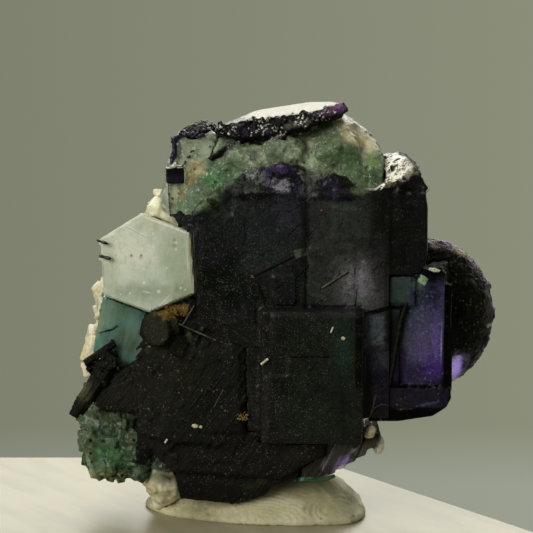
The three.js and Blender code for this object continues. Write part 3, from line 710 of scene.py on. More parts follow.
DARK_ZONES = [
    # the upper left cube
    (0.243, 0.693, 6.8, 6.4, 0.9, (20, 22, 24), BLOCK),
    (0.230, 0.813, 3.3, 2.4, 0.85, (28, 32, 32), VEIL),
    (0.336, 0.739, 3.5, 2.2, 0.8, (28, 30, 34), VEIL),
    (0.403, 0.827, 1.5, 1.9, 0.95, (36, 36, 46), leaning(VEIL, -25)),
    (0.293, 0.650, 3.3, 1.21, 0.9, (30, 36, 34), leaning(VEIL, -28)),
    (0.094, 0.579, 3.5, 2.4, 0.85, (8, 12, 4), HAZY),
    (0.204, 0.526, 1.8, 0.77, 0.8, (4, 8, 4), HAZY),
    (0.476, 0.549, 0.99, 1.9, 0.85, (18, 22, 18), BLOCK),
    (0.298, 0.551, 0.55, 1.9, 0.6, (22, 22, 18), leaning(BLOCK, -8)),
    (0.459, 0.682, 0.71, 0.44, 1, (64, 76, 64), leaning(BLOCK, -14)),
    # the middle faces
    (0.625, 0.708, 3.4, 6.0, 0.8, (40, 42, 40), BLOCK),
    (0.675, 0.790, 1.6, 2.6, 0.7, (36, 42, 38), HAZY),
    (0.719, 0.562, 2.9, 2.6, 0.9, (92, 90, 94), HAZY),
    (0.715, 0.573, 0.99, 1.21, 0.6, (100, 96, 106), HAZY),
    (0.610, 0.490, 1.6, 0.6, 0.5, (62, 60, 62), HAZY),
    (0.728, 0.506, 1.5, 0.88, 0.8, (72, 76, 74), HAZY),
    (0.566, 0.542, 1.9, 1.32, 0.8, (42, 46, 40), HAZY),
    (0.476, 0.770, 0.44, 3.1, 0.8, (32, 32, 34), CLUMP),
    (0.645, 0.843, 1.5, 0.30, 0.55, (52, 66, 56), leaning(CLUMP, 4)),
    (0.556, 0.850, 0.99, 0.77, 0.8, (42, 40, 36), CLUMP),
    # the right hand block
    (0.872, 0.706, 2.7, 6.8, 0.9, (12, 12, 11), HAZY),
    (0.795, 0.627, 0.77, 3.7, 0.7, (34, 34, 34), HAZY),
    (0.788, 0.473, 1.43, 0.26, 1, (4, 4, 4), leaning(BLOCK, -16)),
    # the low cube
    (0.561, 0.254, 4.2, 6.8, 0.8, (22, 26, 20), BLOCK),
    (0.637, 0.350, 1.1, 2.9, 0.75, (22, 42, 32), leaning(HAZY, 3)),
    (0.412, 0.343, 2.0, 4.0, 0.6, (20, 22, 16), HAZY),
    (0.705, 0.343, 0.38, 4.6, 0.95, (4, 4, 4), BLOCK),
    (0.776, 0.401, 0.99, 1.6, 0.9, (66, 76, 82), PANE),
    (0.790, 0.301, 1.21, 1.43, 0.85, (50, 48, 60), HAZY),
    (0.791, 0.193, 1.21, 2.2, 0.8, (24, 20, 34), HAZY),
    (0.497, 0.318, 2.1, 0.10, 0.9, (4, 4, 4), BLOCK),
    # the crumbled band along the top, and the dark lines between the cubes
    (0.222, 0.915, 2.2, 0.99, 0.95, (58, 62, 58), CLUMP),
    (0.272, 0.953, 0.99, 0.77, 0.95, (106, 110, 110), CLUMP),
    (0.360, 0.975, 1.8, 0.5, 0.7, (66, 52, 92), CLUMP),
    (0.323, 0.936, 0.66, 0.77, 0.9, (80, 76, 98), CLUMP),
    (0.374, 0.915, 1.10, 0.77, 0.8, (128, 124, 138), CLUMP),
    (0.443, 0.915, 0.3, 0.9, 0.6, (60, 50, 84), CLUMP),
    (0.497, 0.952, 1.32, 0.66, 0.95, (98, 102, 94), CLUMP),
    (0.492, 0.903, 0.99, 0.99, 0.9, (76, 78, 80), CLUMP),
    (0.243, 0.880, 1.9, 0.44, 0.95, (12, 12, 12), CLUMP),
    (0.598, 0.906, 1.21, 0.99, 0.97, (30, 26, 42), CLUMP),
    (0.662, 0.879, 0.99, 0.44, 0.9, (20, 20, 28), CLUMP),
    (0.607, 0.872, 2.9, 0.27, 0.8, (8, 6, 18), CLUMP),
    (0.903, 0.974, 1.32, 0.77, 0.6, (146, 144, 128), CLUMP),
    (0.831, 0.931, 0.77, 0.55, 0.8, (102, 102, 82), CLUMP),
    (0.900, 0.901, 0.99, 0.55, 0.9, (4, 4, 4), CLUMP),
    (0.5, 0.489, 4.4, 0.22, 0.8, (8, 8, 6), CLUMP),
    (0.30, 0.885, 2.6, 0.3, 0.8, (10, 10, 12), leaning(CLUMP, -6)),
    # the green corner at the left
    (0.066, 0.885, 1.32, 1.32, 0.95, (74, 94, 66), leaning(HAZY, -43)),
    (0.032, 0.862, 1.10, 0.66, 0.8, (100, 116, 88), leaning(VEIL, -43)),
    (0.090, 0.851, 0.55, 0.99, 0.9, (20, 18, 8), leaning(CLUMP, -43)),
    (0.165, 0.940, 1.10, 0.33, 0.8, (64, 86, 60), leaning(HAZY, -38)),
    # the pale green glow along the upper edge
    (0.708, 0.902, 0.88, 0.44, 0.9, (82, 96, 66), VEIL),
    (0.285, 1.000, 1.5, 0.45, 0.9, (112, 124, 100), HAZY),
    (0.456, 1.010, 1.5, 0.45, 0.9, (104, 118, 92), HAZY),
    (0.600, 0.972, 1.3, 0.5, 0.9, (92, 104, 80), HAZY),
]


def dark_finish(fluorite, rock):
    """Near-black fluorite: coloured zones show through the polished faces, under dust; the faces that look up
    are painted darker as shade, and the right-hand top has painted glints.
    """
    finish = Finish("Dark fluorite")
    colour = finish.painted(
        tuple(fluorite.dark),
        (finish.grain(2.6, detail=5, rough=0.65, seed=3).rising(0.4, 0.65) * 0.7, linear(24, 25, 21)),
        *finish.zones(CUBES, 0.06, 3.0, DARK_ZONES),
    )
    colour = finish.scaled(colour, 1.3)
    colour = finish.mottled(colour, (0.22, 0.5), (0.8, 0.3), (2.2, 0.12))
    low_left = finish.patch(CUBES, (0.18, 0.06, 0.35), (9, 9, 14), soft=0.5)
    crumbly = finish.grain(1.5, detail=5, rough=0.75, seed=6).rising(0.45, 0.62)
    dusty = finish.specks(0.16, 0.4, seed=1) * (crumbly * 0.8 + low_left * 0.6 + 0.12)
    band = finish.patch(CUBES, (0.42, 0.1, 0.94), (9, 9, 2.2), soft=0.5)
    flakes = finish.grain(0.5, detail=5, rough=0.75, warp=0.8, seed=7).rising(0.5, 0.56)
    gritty = finish.specks(0.3, 0.16, seed=2) * (crumbly * 0.7 + low_left * 0.5)
    colour = finish.painted(
        colour,
        (band * flakes * 0.8, linear(14, 12, 18)),
        (gritty * 0.35, linear(56, 56, 50)),
        (dusty * 0.35, tuple(rock.dust)),
        (finish.specks(0.36, 0.2, seed=3) * 0.7, linear(5, 5, 5)),
    )
    # Painted glints: on the right-hand block's top, where faces look up, near-white specks of colour stand in
    # for light caught there.
    top = finish.facing((-0.58, -0.22, 0.78), 0.55, 0.85)
    patchy = finish.grain(0.9, detail=4, seed=10).rising(0.38, 0.46)
    glints = finish.grain(0.42, detail=5, rough=0.75, seed=8).rising(0.44, 0.47) * patchy
    sparkle = finish.patch(CUBES, (0.825, 0.2, 0.97), (2.7, 12, 2.6), soft=0.3)
    # Painted shade: the faces that look up, away from the glints and the top band, are painted near-black and
    # made rougher.
    upward_shade = finish.facing((0, -0.1, 1), 0.3, 0.8) * (1 - sparkle) * (1 - band)
    colour = finish.painted(
        colour,
        (upward_shade * 0.8, linear(9, 9, 8)),
        (top * sparkle * glints, linear(255, 251, 238)),
    )
    relief = finish.grain(0.3, detail=4, rough=0.6, seed=4)
    rough = 0.26 + crumbly * 0.2 + dusty * 0.3 + upward_shade * 0.5
    return finish.surface(colour, rough, relief, 0.02, IOR=1.43, Specular_IOR_Level=0.2)


HEART_ZONES = [
    (0.597, 0.741, 4.4, 2.0, 0.6, (142, 160, 128), HAZY),
    (0.360, 0.705, 2.9, 1.32, 0.7, (166, 180, 148), HAZY),
    (0.215, 0.572, 2.3, 1.5, 0.95, (66, 106, 60), leaning(HAZY, -30)),
    (0.190, 0.556, 0.9, 1.1, 0.8, (74, 128, 74), leaning(VEIL, -30)),
    (0.256, 0.485, 1.32, 0.66, 0.8, (64, 82, 62), leaning(VEIL, -35)),
    (0.109, 0.386, 1.8, 0.99, 0.9, (104, 130, 94), leaning(VEIL, -43)),
    (0.777, 0.701, 2.2, 2.2, 0.9, (100, 136, 88), VEIL),
    (0.713, 0.868, 1.5, 1.21, 0.9, (104, 118, 86), HAZY),
    (0.878, 0.610, 2.0, 1.43, 0.85, (98, 128, 82), HAZY),
    (0.940, 0.565, 0.88, 0.66, 0.8, (60, 82, 46), CLUMP),
    (0.835, 0.840, 1.3, 0.9, 0.8, (112, 116, 80), VEIL),
    (0.925, 0.620, 1.0, 1.0, 0.7, (76, 98, 60), HAZY),
    (0.408, 0.661, 1.3, 0.7, 0.85, (176, 190, 164), HAZY),
    (0.597, 0.700, 1.6, 0.8, 0.85, (184, 198, 166), HAZY),
    (0.740, 0.640, 1.5, 0.9, 0.85, (140, 152, 118), HAZY),
    (0.868, 0.875, 2.4, 0.88, 0.95, (214, 200, 156), leaning(VEIL, 40)),
    (0.938, 0.776, 0.66, 1.3, 0.95, (255, 250, 214), leaning(VEIL, 30)),
    (0.942, 0.691, 0.66, 0.88, 0.9, (140, 168, 106), VEIL),
    (0.814, 0.967, 1.32, 0.44, 0.9, (196, 176, 140), leaning(VEIL, 20)),
    (0.102, 0.640, 0.99, 0.77, 0.9, (196, 184, 136), HAZY),
    (0.074, 0.561, 0.66, 0.88, 0.9, (156, 134, 82), CLUMP),
    (0.039, 0.448, 0.33, 0.55, 0.8, (154, 132, 80), CLUMP),
    # The next row is a painted shadow: a grey band under the crust.
    (0.417, 0.864, 3.7, 0.44, 0.9, (90, 90, 82), leaning(CLUMP, -6)),
    (0.326, 0.843, 1.5, 0.33, 0.8, (142, 154, 120), leaning(CLUMP, -6)),
    (0.245, 0.771, 1.6, 0.44, 0.95, (80, 82, 80), leaning(CLUMP, -42)),
    (0.185, 0.782, 0.99, 0.44, 0.9, (194, 202, 168), leaning(CLUMP, -50)),
    (0.617, 0.852, 1.32, 0.66, 0.8, (92, 94, 78), CLUMP),
    (0.656, 0.808, 0.55, 0.33, 0.9, (164, 160, 138), CLUMP),
    (0.379, 0.734, 0.44, 0.55, 0.8, (106, 116, 104), CLUMP),
    (0.369, 0.787, 0.88, 0.22, 0.8, (218, 222, 190), CLUMP),
    (0.692, 0.571, 0.88, 0.99, 0.8, (130, 138, 116), VEIL),
    (0.626, 0.614, 0.99, 0.33, 0.8, (100, 104, 98), CLUMP),
    (0.389, 0.646, 0.99, 0.44, 0.8, (172, 184, 158), CLUMP),
]


def green_finish(fluorite):
    """The broken heart: pale grey-green with strong green, tan and cream places, lit from within, with
    painted glints.
    """
    finish = Finish("Green fluorite")
    cloud = finish.grain(1.5, detail=4, rough=0.6, warp=0.4, seed=1)
    # Painted glints: small near-white flecks stand in for light caught on the broken faces.
    painted_glints = finish.grain(0.32, detail=5, rough=0.75, warp=0.6, seed=9).rising(0.58, 0.64)
    colour = finish.painted(
        tuple(fluorite.sage),
        (cloud.rising(0.4, 0.65) * 0.5, linear(104, 132, 98)),
        *finish.zones(HEART, 0.1, 9, HEART_ZONES),
        (painted_glints * 0.8, linear(246, 250, 236)),
        (finish.specks(0.8, 0.14, seed=3) * 0.7, linear(34, 30, 46)),
    )
    colour = finish.mottled(colour, (0.35, 0.25), (1.1, 0.14))
    colour = finish.faceted(colour, (0.9, 0.9, 0.45), 0.22, (10, 35, 20), seed=2)
    colour = finish.faceted(colour, (0.5, 0.5, 0.3), 0.2, (50, -30, 10), seed=5)
    relief = finish.grain(0.6, detail=6, rough=0.74, warp=0.8, seed=4)
    return finish.surface(
        colour,
        0.12 + cloud.rising(0.35, 0.7) * 0.2,
        relief,
        0.2,
        (linear(170, 215, 170), 30.0),
        IOR=1.43,
        Transmission_Weight=0.25,
    )


CLUSTER_ZONES = [
    (0.457, 0.421, 2.2, 0.99, 0.85, (84, 128, 84), HAZY),
    (0.644, 0.359, 1.32, 0.99, 0.8, (78, 126, 84), HAZY),
    (0.459, 0.872, 2.2, 1.10, 0.7, (94, 106, 78), HAZY),
    (0.784, 0.720, 1.10, 2.0, 0.7, (74, 86, 62), CLUMP),
    (0.224, 0.579, 0.66, 2.6, 0.7, (110, 128, 96), HAZY),
    (0.450, 0.124, 2.6, 0.77, 0.9, (132, 146, 100), CLUMP),
    (0.581, 0.108, 0.66, 0.33, 1, (4, 4, 4), CLUMP),
    (0.857, 0.549, 0.44, 1.10, 0.8, (96, 112, 86), CLUMP),
    (0.524, 0.942, 1.10, 0.33, 0.9, (80, 82, 62), leaning(CLUMP, 25)),
]


def cluster_finish():
    """Glassy green cubes, blue-green at heart, pale along the foot."""
    finish = Finish("Green cubes")
    cloud = finish.grain(1.2, detail=5, rough=0.7, warp=0.5, seed=2)
    colour = finish.painted(
        linear(92, 116, 90),
        (cloud.rising(0.52, 0.42) * 0.8, linear(34, 52, 40)),
        *finish.zones(CLUSTER, 0.1, 5, CLUSTER_ZONES),
        # Painted glints: pale green-white flecks stand in for light caught on the cubes.
        (finish.grain(0.3, detail=4, rough=0.7, seed=9).rising(0.6, 0.72) * 0.6, linear(176, 196, 172)),
        (finish.specks(0.7, 0.22, seed=3), linear(12, 12, 12)),
    )
    colour = finish.mottled(colour, (0.3, 0.3), (0.9, 0.2))
    colour = finish.faceted(colour, (0.9, 0.9, 0.45), 0.3, (20, 40, 10), seed=2)
    relief = finish.grain(0.35, detail=5, rough=0.6, seed=4)
    return finish.surface(
        colour,
        0.16 + cloud * 0.2,
        relief,
        0.07,
        (linear(120, 190, 150), 60.0),
        IOR=1.43,
        Transmission_Weight=0.35,
    )


CLEAR_ZONES = [
    (0.651, 0.843, 1.5, 1.10, 0.7, (186, 196, 166), HAZY),
    (0.365, 0.880, 0.55, 0.44, 0.9, (228, 224, 226), CLUMP),
    (0.381, 0.798, 0.33, 0.99, 0.95, (98, 98, 102), CLUMP),
    (0.364, 0.704, 0.33, 0.44, 0.9, (114, 114, 102), CLUMP),
    (0.668, 0.773, 0.88, 0.22, 0.8, (160, 172, 142), leaning(CLUMP, -45)),
    (0.600, 0.656, 1.10, 0.44, 0.8, (232, 232, 190), HAZY),
    (0.666, 0.562, 0.88, 0.88, 0.9, (202, 182, 126), HAZY),
    (0.327, 0.269, 0.66, 1.8, 0.8, (226, 226, 182), VEIL),
    (0.393, 0.115, 0.66, 0.88, 0.8, (136, 152, 118), VEIL),
    (0.528, 0.150, 0.88, 0.88, 0.8, (140, 160, 122), VEIL),
    (0.253, 0.457, 0.33, 1.5, 0.8, (148, 146, 132), VEIL),
]


def clear_finish(fluorite):
    """See-through crystal with milky veils, dark purple caught under its edges, and painted glints."""
    finish = Finish("Clear fluorite")
    veil = finish.grain((1.8, 1.8, 0.7), detail=4, rough=0.6, turn=(0, 35, 0), seed=3)
    # Painted glints: near-white flecks stand in for light caught on the crystal.
    painted_glints = finish.grain(0.4, detail=5, rough=0.7, warp=0.8, seed=9).rising(0.6, 0.64)
    colour = finish.painted(
        tuple(fluorite.clear),
        (veil.rising(0.5, 0.65) * 0.6, linear(186, 206, 172)),
        *finish.zones(CLEAR, 0.05, 1.6, CLEAR_ZONES),
        (finish.specks(0.7, 0.1, seed=6) * 0.8, linear(30, 26, 44)),
        (painted_glints * 0.8, linear(255, 255, 246)),
    )
    colour = finish.mottled(colour, (0.4, 0.14))
    colour = finish.faceted(colour, (0.9, 0.9, 0.4), 0.16, (10, 35, 20), seed=2)
    relief = finish.grain(0.5, detail=5, rough=0.65, warp=0.5, seed=4)
    return finish.surface(
        colour,
        0.08 + veil.rising(0.5, 0.7) * 0.25,
        relief,
        0.09,
        (linear(205, 228, 205), 25.0),
        IOR=1.43,
        Transmission_Weight=0.6,
    )


PURPLE_ZONES = [
    # the narrow faces at the left
    (0.354, 0.501, 0.99, 2.9, 0.9, (28, 28, 26), BLOCK),
    (0.402, 0.896, 1.32, 2.1, 0.95, (56, 70, 68), BLOCK),
    (0.351, 0.727, 0.77, 0.99, 0.9, (38, 46, 48), VEIL),
    (0.524, 0.857, 0.11, 1.5, 0.8, (4, 4, 4), BLOCK),
    # the window
    (0.686, 0.569, 2.0, 5.7, 1, (62, 60, 92), leaning(WINDOW, 5)),
    (0.671, 0.795, 1.6, 1.32, 0.9, (42, 40, 62), VEIL),
    (0.768, 0.841, 0.77, 1.32, 0.85, (30, 28, 42), HAZY),
    (0.510, 0.581, 0.88, 2.9, 0.9, (62, 66, 76), leaning(HAZY, 8)),
    (0.664, 0.563, 1.21, 2.6, 0.9, (82, 74, 108), leaning(HAZY, 5)),
    (0.796, 0.512, 0.44, 2.4, 0.9, (94, 78, 140), leaning(VEIL, 3)),
    (0.666, 0.427, 0.55, 0.55, 0.8, (98, 80, 130), CLUMP),
    (0.424, 0.411, 0.66, 0.88, 0.9, (40, 28, 54), CLUMP),
    (0.602, 0.316, 2.6, 0.99, 0.9, (40, 32, 58), VEIL),
    (0.777, 0.356, 0.88, 0.99, 0.9, (60, 36, 110), HAZY),
    (0.379, 0.299, 0.66, 0.55, 0.8, (36, 26, 50), VEIL),
    (0.856, 0.513, 0.09, 2.1, 0.4, (186, 172, 230), VEIL),
    (0.950, 0.550, 0.60, 6.6, 1, (13, 13, 10), BLOCK),
    (0.840, 0.980, 1.6, 0.5, 0.9, (8, 8, 8), CLUMP),
    (0.593, 0.885, 0.66, 0.55, 0.95, (84, 100, 92), VEIL),
    (0.645, 0.920, 0.49, 0.44, 1, (150, 186, 150), leaning(BLOCK, 30)),
    (0.60, 0.70, 0.9, 2.6, 0.5, (52, 66, 78), leaning(HAZY, 14)),
    (0.76, 0.36, 1.1, 1.6, 0.4, (70, 48, 120), HAZY),
    (0.80, 0.245, 1.3, 0.5, 0.8, (22, 18, 30), HAZY),
    (0.570, 0.936, 0.44, 0.33, 0.9, (60, 50, 70), CLUMP),
    (0.744, 0.938, 0.66, 0.55, 0.9, (10, 6, 10), CLUMP),
    # the low block
    (0.591, 0.163, 3.5, 1.21, 0.95, (34, 30, 42), BLOCK),
    (0.403, 0.189, 0.99, 0.88, 0.7, (32, 28, 38), HAZY),
    (0.879, 0.169, 0.27, 0.77, 0.95, (32, 24, 52), CLUMP),
    (0.714, 0.117, 1.10, 0.18, 1, (66, 58, 88), leaning(CLUMP, -10)),
    (0.437, 0.130, 0.66, 0.18, 0.9, (48, 40, 38), leaning(CLUMP, 22)),
    (0.449, 0.085, 0.99, 0.14, 0.8, (66, 56, 46), CLUMP),
    (0.614, 0.231, 3.5, 0.18, 1, (4, 4, 4), BLOCK),
    (0.571, 0.045, 4.0, 0.66, 0.9, (4, 4, 4), VEIL),
]


def purple_finish():
    """The purple cubes: a lilac window in the tall one, blue-grey and teal faces beside it, and tops painted
    dark as shade.
    """
    finish = Finish("Purple fluorite")
    top = finish.facing((0, 0, 1), 0.5, 0.8)
    window = finish.patch(PURPLE, (0.68, 0.02, 0.57), (2.3, 2.5, 5.6), soft=0.3, ragged=0.3)
    lit = window * finish.grain(0.3, detail=5, rough=0.75, seed=6).rising(0.54, 0.66)
    shaded = window * finish.grain((0.2, 0.4, 1.6), detail=4, seed=9).rising(0.56, 0.68)
    colour = finish.painted(
        linear(13, 12, 14),
        *finish.zones(PURPLE, 0.02, 2.5, PURPLE_ZONES),
        (lit * 0.5, linear(136, 126, 190)),
        (shaded * 0.5, linear(40, 36, 62)),
        (finish.specks(0.45, 0.14, seed=3) * 0.35, linear(120, 116, 110)),
        # Painted shade: the top faces are painted near-black and made rougher.
        (top * 0.9, linear(10, 8, 12)),
    )
    colour = finish.mottled(colour, (0.2, 0.34), (0.7, 0.26), ((0.4, 0.4, 2.0), 0.16))
    relief = finish.grain((0.5, 0.5, 1.4), detail=4, rough=0.6, seed=4)
    rough = 0.2 + finish.grain(0.9, detail=4, seed=2) * 0.16 + top * 0.5
    return finish.surface(
        colour, rough, relief, 0.03, IOR=1.43, Transmission_Weight=0.08, Specular_IOR_Level=0.05
    )


DRUSE_ZONES = [
    (0.664, 0.513, 1.32, 0.99, 0.8, (14, 10, 18), CLUMP),
    (0.655, 0.466, 0.27, 0.22, 1, (68, 52, 104), CLUMP),
    (0.690, 0.283, 0.22, 0.22, 1, (60, 46, 100), CLUMP),
    # The next three rows are a painted flash of violet light.
    (0.622, 0.154, 1.1, 1.6, 1, (190, 168, 238), leaning(VEIL, 18)),
    (0.602, 0.170, 0.6, 1.30, 1, (240, 226, 255), leaning(CLUMP, 12)),
    (0.626, 0.053, 0.44, 0.33, 1, (230, 220, 242), CLUMP),
    (0.690, 0.164, 0.44, 0.66, 0.8, (68, 54, 108), CLUMP),
    (0.924, 0.590, 0.44, 2.0, 0.8, (72, 64, 74), CLUMP),
    (0.671, 0.911, 1.32, 0.33, 0.8, (164, 152, 134), leaning(CLUMP, 25)),
    (0.415, 0.963, 0.66, 0.44, 0.8, (110, 98, 102), CLUMP),
    (0.938, 0.418, 0.33, 0.22, 1, (206, 194, 194), CLUMP),
]


def druse_finish():
    """Sugary dark crust: its rim is painted purple and pale where light comes through, and a violet flash of
    light is painted on and glows.
    """
    finish = Finish("Druse")
    rim = 1 - finish.patch(LOBE, (0.372, 0.4, 0.485), (7.1, 40, 8.15), soft=0.06, ragged=0.12)
    pale_rim = rim * finish.grain(0.34, detail=4, rough=0.7, seed=8).rising(0.54, 0.62)
    # The flash is painted light: it glows from the surface as well.
    flash = finish.patch(LOBE, (0.615, 0.18, 0.14), (0.7, 3, 1.5), turn=(0, 14, 0), soft=0.3, ragged=0.5)
    glow = finish.mix(flash, (0, 0, 0), linear(136, 108, 196))
    colour = finish.painted(
        linear(15, 15, 11),
        (finish.specks(0.42, 0.4, seed=3) * 0.7, linear(112, 108, 64)),
        (finish.specks(0.24, 0.5, seed=5) * 0.7, linear(84, 80, 54)),
        (finish.specks(0.5, 0.12, seed=6) * 0.8, linear(52, 40, 84)),
        (rim * 0.85, linear(88, 68, 112)),
        (pale_rim * 0.8, linear(206, 182, 184)),
        *finish.zones(LOBE, 0.3, 6, DRUSE_ZONES),
    )
    colour = finish.mottled(colour, (0.25, 0.4), (0.9, 0.2))
    relief = finish.grain(0.2, detail=3, seed=4)
    return finish.surface(
        colour,
        0.5,
        relief,
        0.05,
        IOR=1.43,
        Specular_IOR_Level=0.14,
        Emission_Color=glow,
        Emission_Strength=0.6,
    )


FAN_ZONES = [
    (0.050, 0.350, 1.5, 1.5, 0.8, (36, 36, 26), HAZY),
    (0.262, 0.486, 0.88, 2.0, 0.7, (48, 50, 44), leaning(VEIL, 26)),
    (0.490, 0.571, 1.32, 1.8, 0.8, (68, 66, 64), leaning(VEIL, 28)),
    # The next two rows are a painted flash of violet light.
    (0.551, 0.299, 0.8, 1.3, 1, (150, 132, 196), leaning(VEIL, 24)),
    (0.530, 0.220, 0.5, 0.6, 1, (250, 234, 255), leaning(VEIL, 24)),
    (0.805, 0.711, 0.99, 1.5, 0.8, (104, 100, 94), leaning(HAZY, 24)),
    (0.876, 0.902, 0.44, 1.10, 0.9, (78, 72, 66), CLUMP),
    # The next two rows are painted green light along the foot.
    (0.250, 0.040, 2.4, 0.29, 0.95, (72, 148, 108), leaning(CLUMP, 8)),
    (0.420, 0.030, 0.88, 0.22, 0.9, (160, 216, 178), CLUMP),
    (0.70, 0.50, 0.12, 2.4, 0.9, (12, 12, 12), leaning(BLOCK, 24)),
]


def fan_finish():
    """Blades of pale grey-purple, with a painted flash of violet light and painted green light at the foot.
    """
    finish = Finish("Fan")
    streak = finish.grain((0.3, 0.6, 3.5), detail=3, turn=(0, 24, 0), seed=1)
    colour = finish.painted(
        linear(60, 57, 60),
        (streak.rising(0.4, 0.6), linear(20, 19, 20)),
        *finish.zones(FAN, 0.1, 4, FAN_ZONES),
        (finish.specks(0.4, 0.15, seed=3) * 0.4, linear(150, 146, 130)),
    )
    colour = finish.mottled(colour, (0.25, 0.25), ((0.25, 0.4, 3.0), 0.25, (0, 24, 0)))
    return finish.surface(colour, 0.24 + streak * 0.2, streak, 0.05, IOR=1.43, Transmission_Weight=0.1)


CRUST_ZONES = [
    (0.62, 0.46, 1.6, 0.4, 0.5, (96, 94, 88), leaning(CLUMP, -12)),
    (0.90, 0.86, 1.8, 0.5, 0.7, (84, 70, 96), leaning(CLUMP, -10)),
    (0.94, 0.95, 0.8, 0.5, 0.9, (104, 72, 112), CLUMP),
    (0.30, 0.20, 2.4, 0.4, 0.6, (36, 30, 54), CLUMP),
]

SMALL_CUBE_ZONES = [
    (0.5, 0.3, 1.0, 0.4, 0.6, (40, 32, 56), HAZY),
]


def crust_finish():
    """The black crust: a painted reflection on its flat top and on the small cube's top, painted glints, dark
    crumbled sides, a breath of purple at the right end.
    """
    finish = Finish("Black crust")
    # Painted reflection: the flat tops of the crust and of the small cube are painted pale where they face
    # the light.
    top = finish.facing((-0.15, 0.0, 0.99), 0.8, 0.93)
    wide = {"soft": 0.12, "ragged": 0.2}
    spread = finish.patch(CAP, (0.57, 0.5, 0.8), (5.3, 12, 4), **wide)
    small = finish.patch(SMALL_CUBE, (0.5, 0.5, 0.9), (2, 2, 0.6), **wide)
    upper = finish.facing((-0.2, -0.5, 0.84), 0.2, 0.6)
    near = finish.patch(CAP, (0.5, 0.2, 0.4), (8.5, 12, 4), soft=0.2)
    glints = finish.grain(0.34, detail=4, rough=0.7, seed=3).rising(0.55, 0.6) * upper * near
    glints = glints * finish.grain(1.4, detail=3, seed=6).rising(0.42, 0.52)
    colour = finish.painted(
        linear(17, 16, 16),
        *finish.zones(CAP, 0.1, 4, CRUST_ZONES),
        *finish.zones(SMALL_CUBE, 0.0, 1, SMALL_CUBE_ZONES),
        (glints * 0.95, linear(236, 232, 220)),
        (finish.specks(0.5, 0.1, seed=5) * near * 0.5, linear(110, 106, 100)),
        (top * (spread + small), linear(180, 177, 166)),
    )
    colour = finish.mottled(colour, (0.25, 0.3), (0.9, 0.2))
    relief = finish.grain(0.25, detail=4, rough=0.6, seed=4)
    return finish.surface(colour, 0.4, relief, 0.05, IOR=1.48, Specular_IOR_Level=0.1)


PALE_PRISM_ZONES = [
    (0.324, 0.696, 2.6, 2.9, 0.8, (248, 252, 230), HAZY),
    (0.816, 0.596, 1.5, 3.7, 0.85, (178, 192, 158), leaning(HAZY, -5)),
    (0.530, 0.346, 3.7, 0.99, 0.8, (160, 176, 148), HAZY),
    (0.888, 0.361, 1.10, 0.88, 0.8, (146, 162, 130), HAZY),
    (0.631, 0.928, 2.2, 0.88, 0.8, (222, 224, 194), HAZY),
    (0.120, 0.529, 0.66, 2.6, 0.7, (204, 216, 186), VEIL),
    # Of the rows below, the near-white lines and small spots are painted highlights along the rims and on the
    # face.
    (0.69, 0.906, 2.75, 0.12, 0.9, (255, 255, 240), leaning(LINE, 20.5)),
    (0.385, 0.857, 1.1, 0.06, 0.9, (255, 255, 244), leaning(LINE, 28)),
    (0.388, 0.847, 1.1, 0.04, 0.5, (134, 140, 116), leaning(LINE, 28)),
    (0.949, 0.594, 0.11, 2.9, 0.7, (150, 124, 70), leaning(LINE, -3.4)),
    (0.912, 0.65, 0.05, 1.7, 0.6, (244, 246, 230), leaning(LINE, -3.4)),
    (0.055, 0.50, 0.09, 1.3, 0.5, (178, 156, 96), leaning(LINE, -5)),
    (0.65, 0.253, 1.16, 0.05, 0.7, (248, 252, 240), leaning(LINE, -45)),
    (0.80, 0.27, 1.3, 0.3, 0.6, (124, 132, 100), leaning(VEIL, -30)),
    (0.45, 0.712, 0.12, 0.12, 1, (255, 255, 250), VEIL),
    (0.575, 0.635, 0.30, 0.08, 0.9, (252, 252, 244), VEIL),
    (0.50, 0.345, 0.45, 0.06, 0.8, (236, 240, 226), leaning(VEIL, 14)),
    (0.62, 0.35, 0.18, 0.18, 0.9, (240, 240, 220), VEIL),
    (0.34, 0.65, 0.14, 0.14, 0.9, (150, 120, 70), VEIL),
    (0.44, 0.65, 0.12, 0.12, 0.9, (150, 120, 70), VEIL),
]


def aquamarine_finish(rock):
    """The pale prism: milky, blue-green in its depth, with painted highlights along its rims, painted glints
    and a few rusty dots.
    """
    finish = Finish("Pale aquamarine")
    cloud = finish.grain(2.6, detail=4, rough=0.55, seed=1)
    frost = finish.grain(0.5, detail=5, rough=0.7, seed=5).rising(0.6, 0.8)
    stain = finish.grain((0.5, 3, 1.4), detail=5, rough=0.7, seed=6).rising(0.52, 0.66)
    colour = finish.painted(
        tuple(rock.aquamarine),
        *finish.zones(HEXAGON, 0.0, 30, PALE_PRISM_ZONES),
        (cloud.rising(0.45, 0.75) * 0.25, linear(214, 224, 208)),
        (frost * 0.5, linear(246, 246, 236)),
        (stain * 0.35, linear(176, 178, 134)),
        (finish.specks(0.9, 0.08, seed=7) * 0.5, linear(150, 132, 88)),
        # Painted glints: small white specks.
        (finish.specks(0.5, 0.06, seed=8) * 0.7, linear(255, 255, 250)),
    )
    colour = finish.mottled(colour, (0.5, 0.08), (1.8, 0.06))
    relief = finish.grain(0.6, detail=4, rough=0.55, seed=4)
    return finish.surface(
        colour,
        0.28 + cloud * 0.2,
        relief,
        0.02,
        (linear(200, 226, 214), 20.0),
        IOR=1.57,
        Transmission_Weight=0.15,
    )


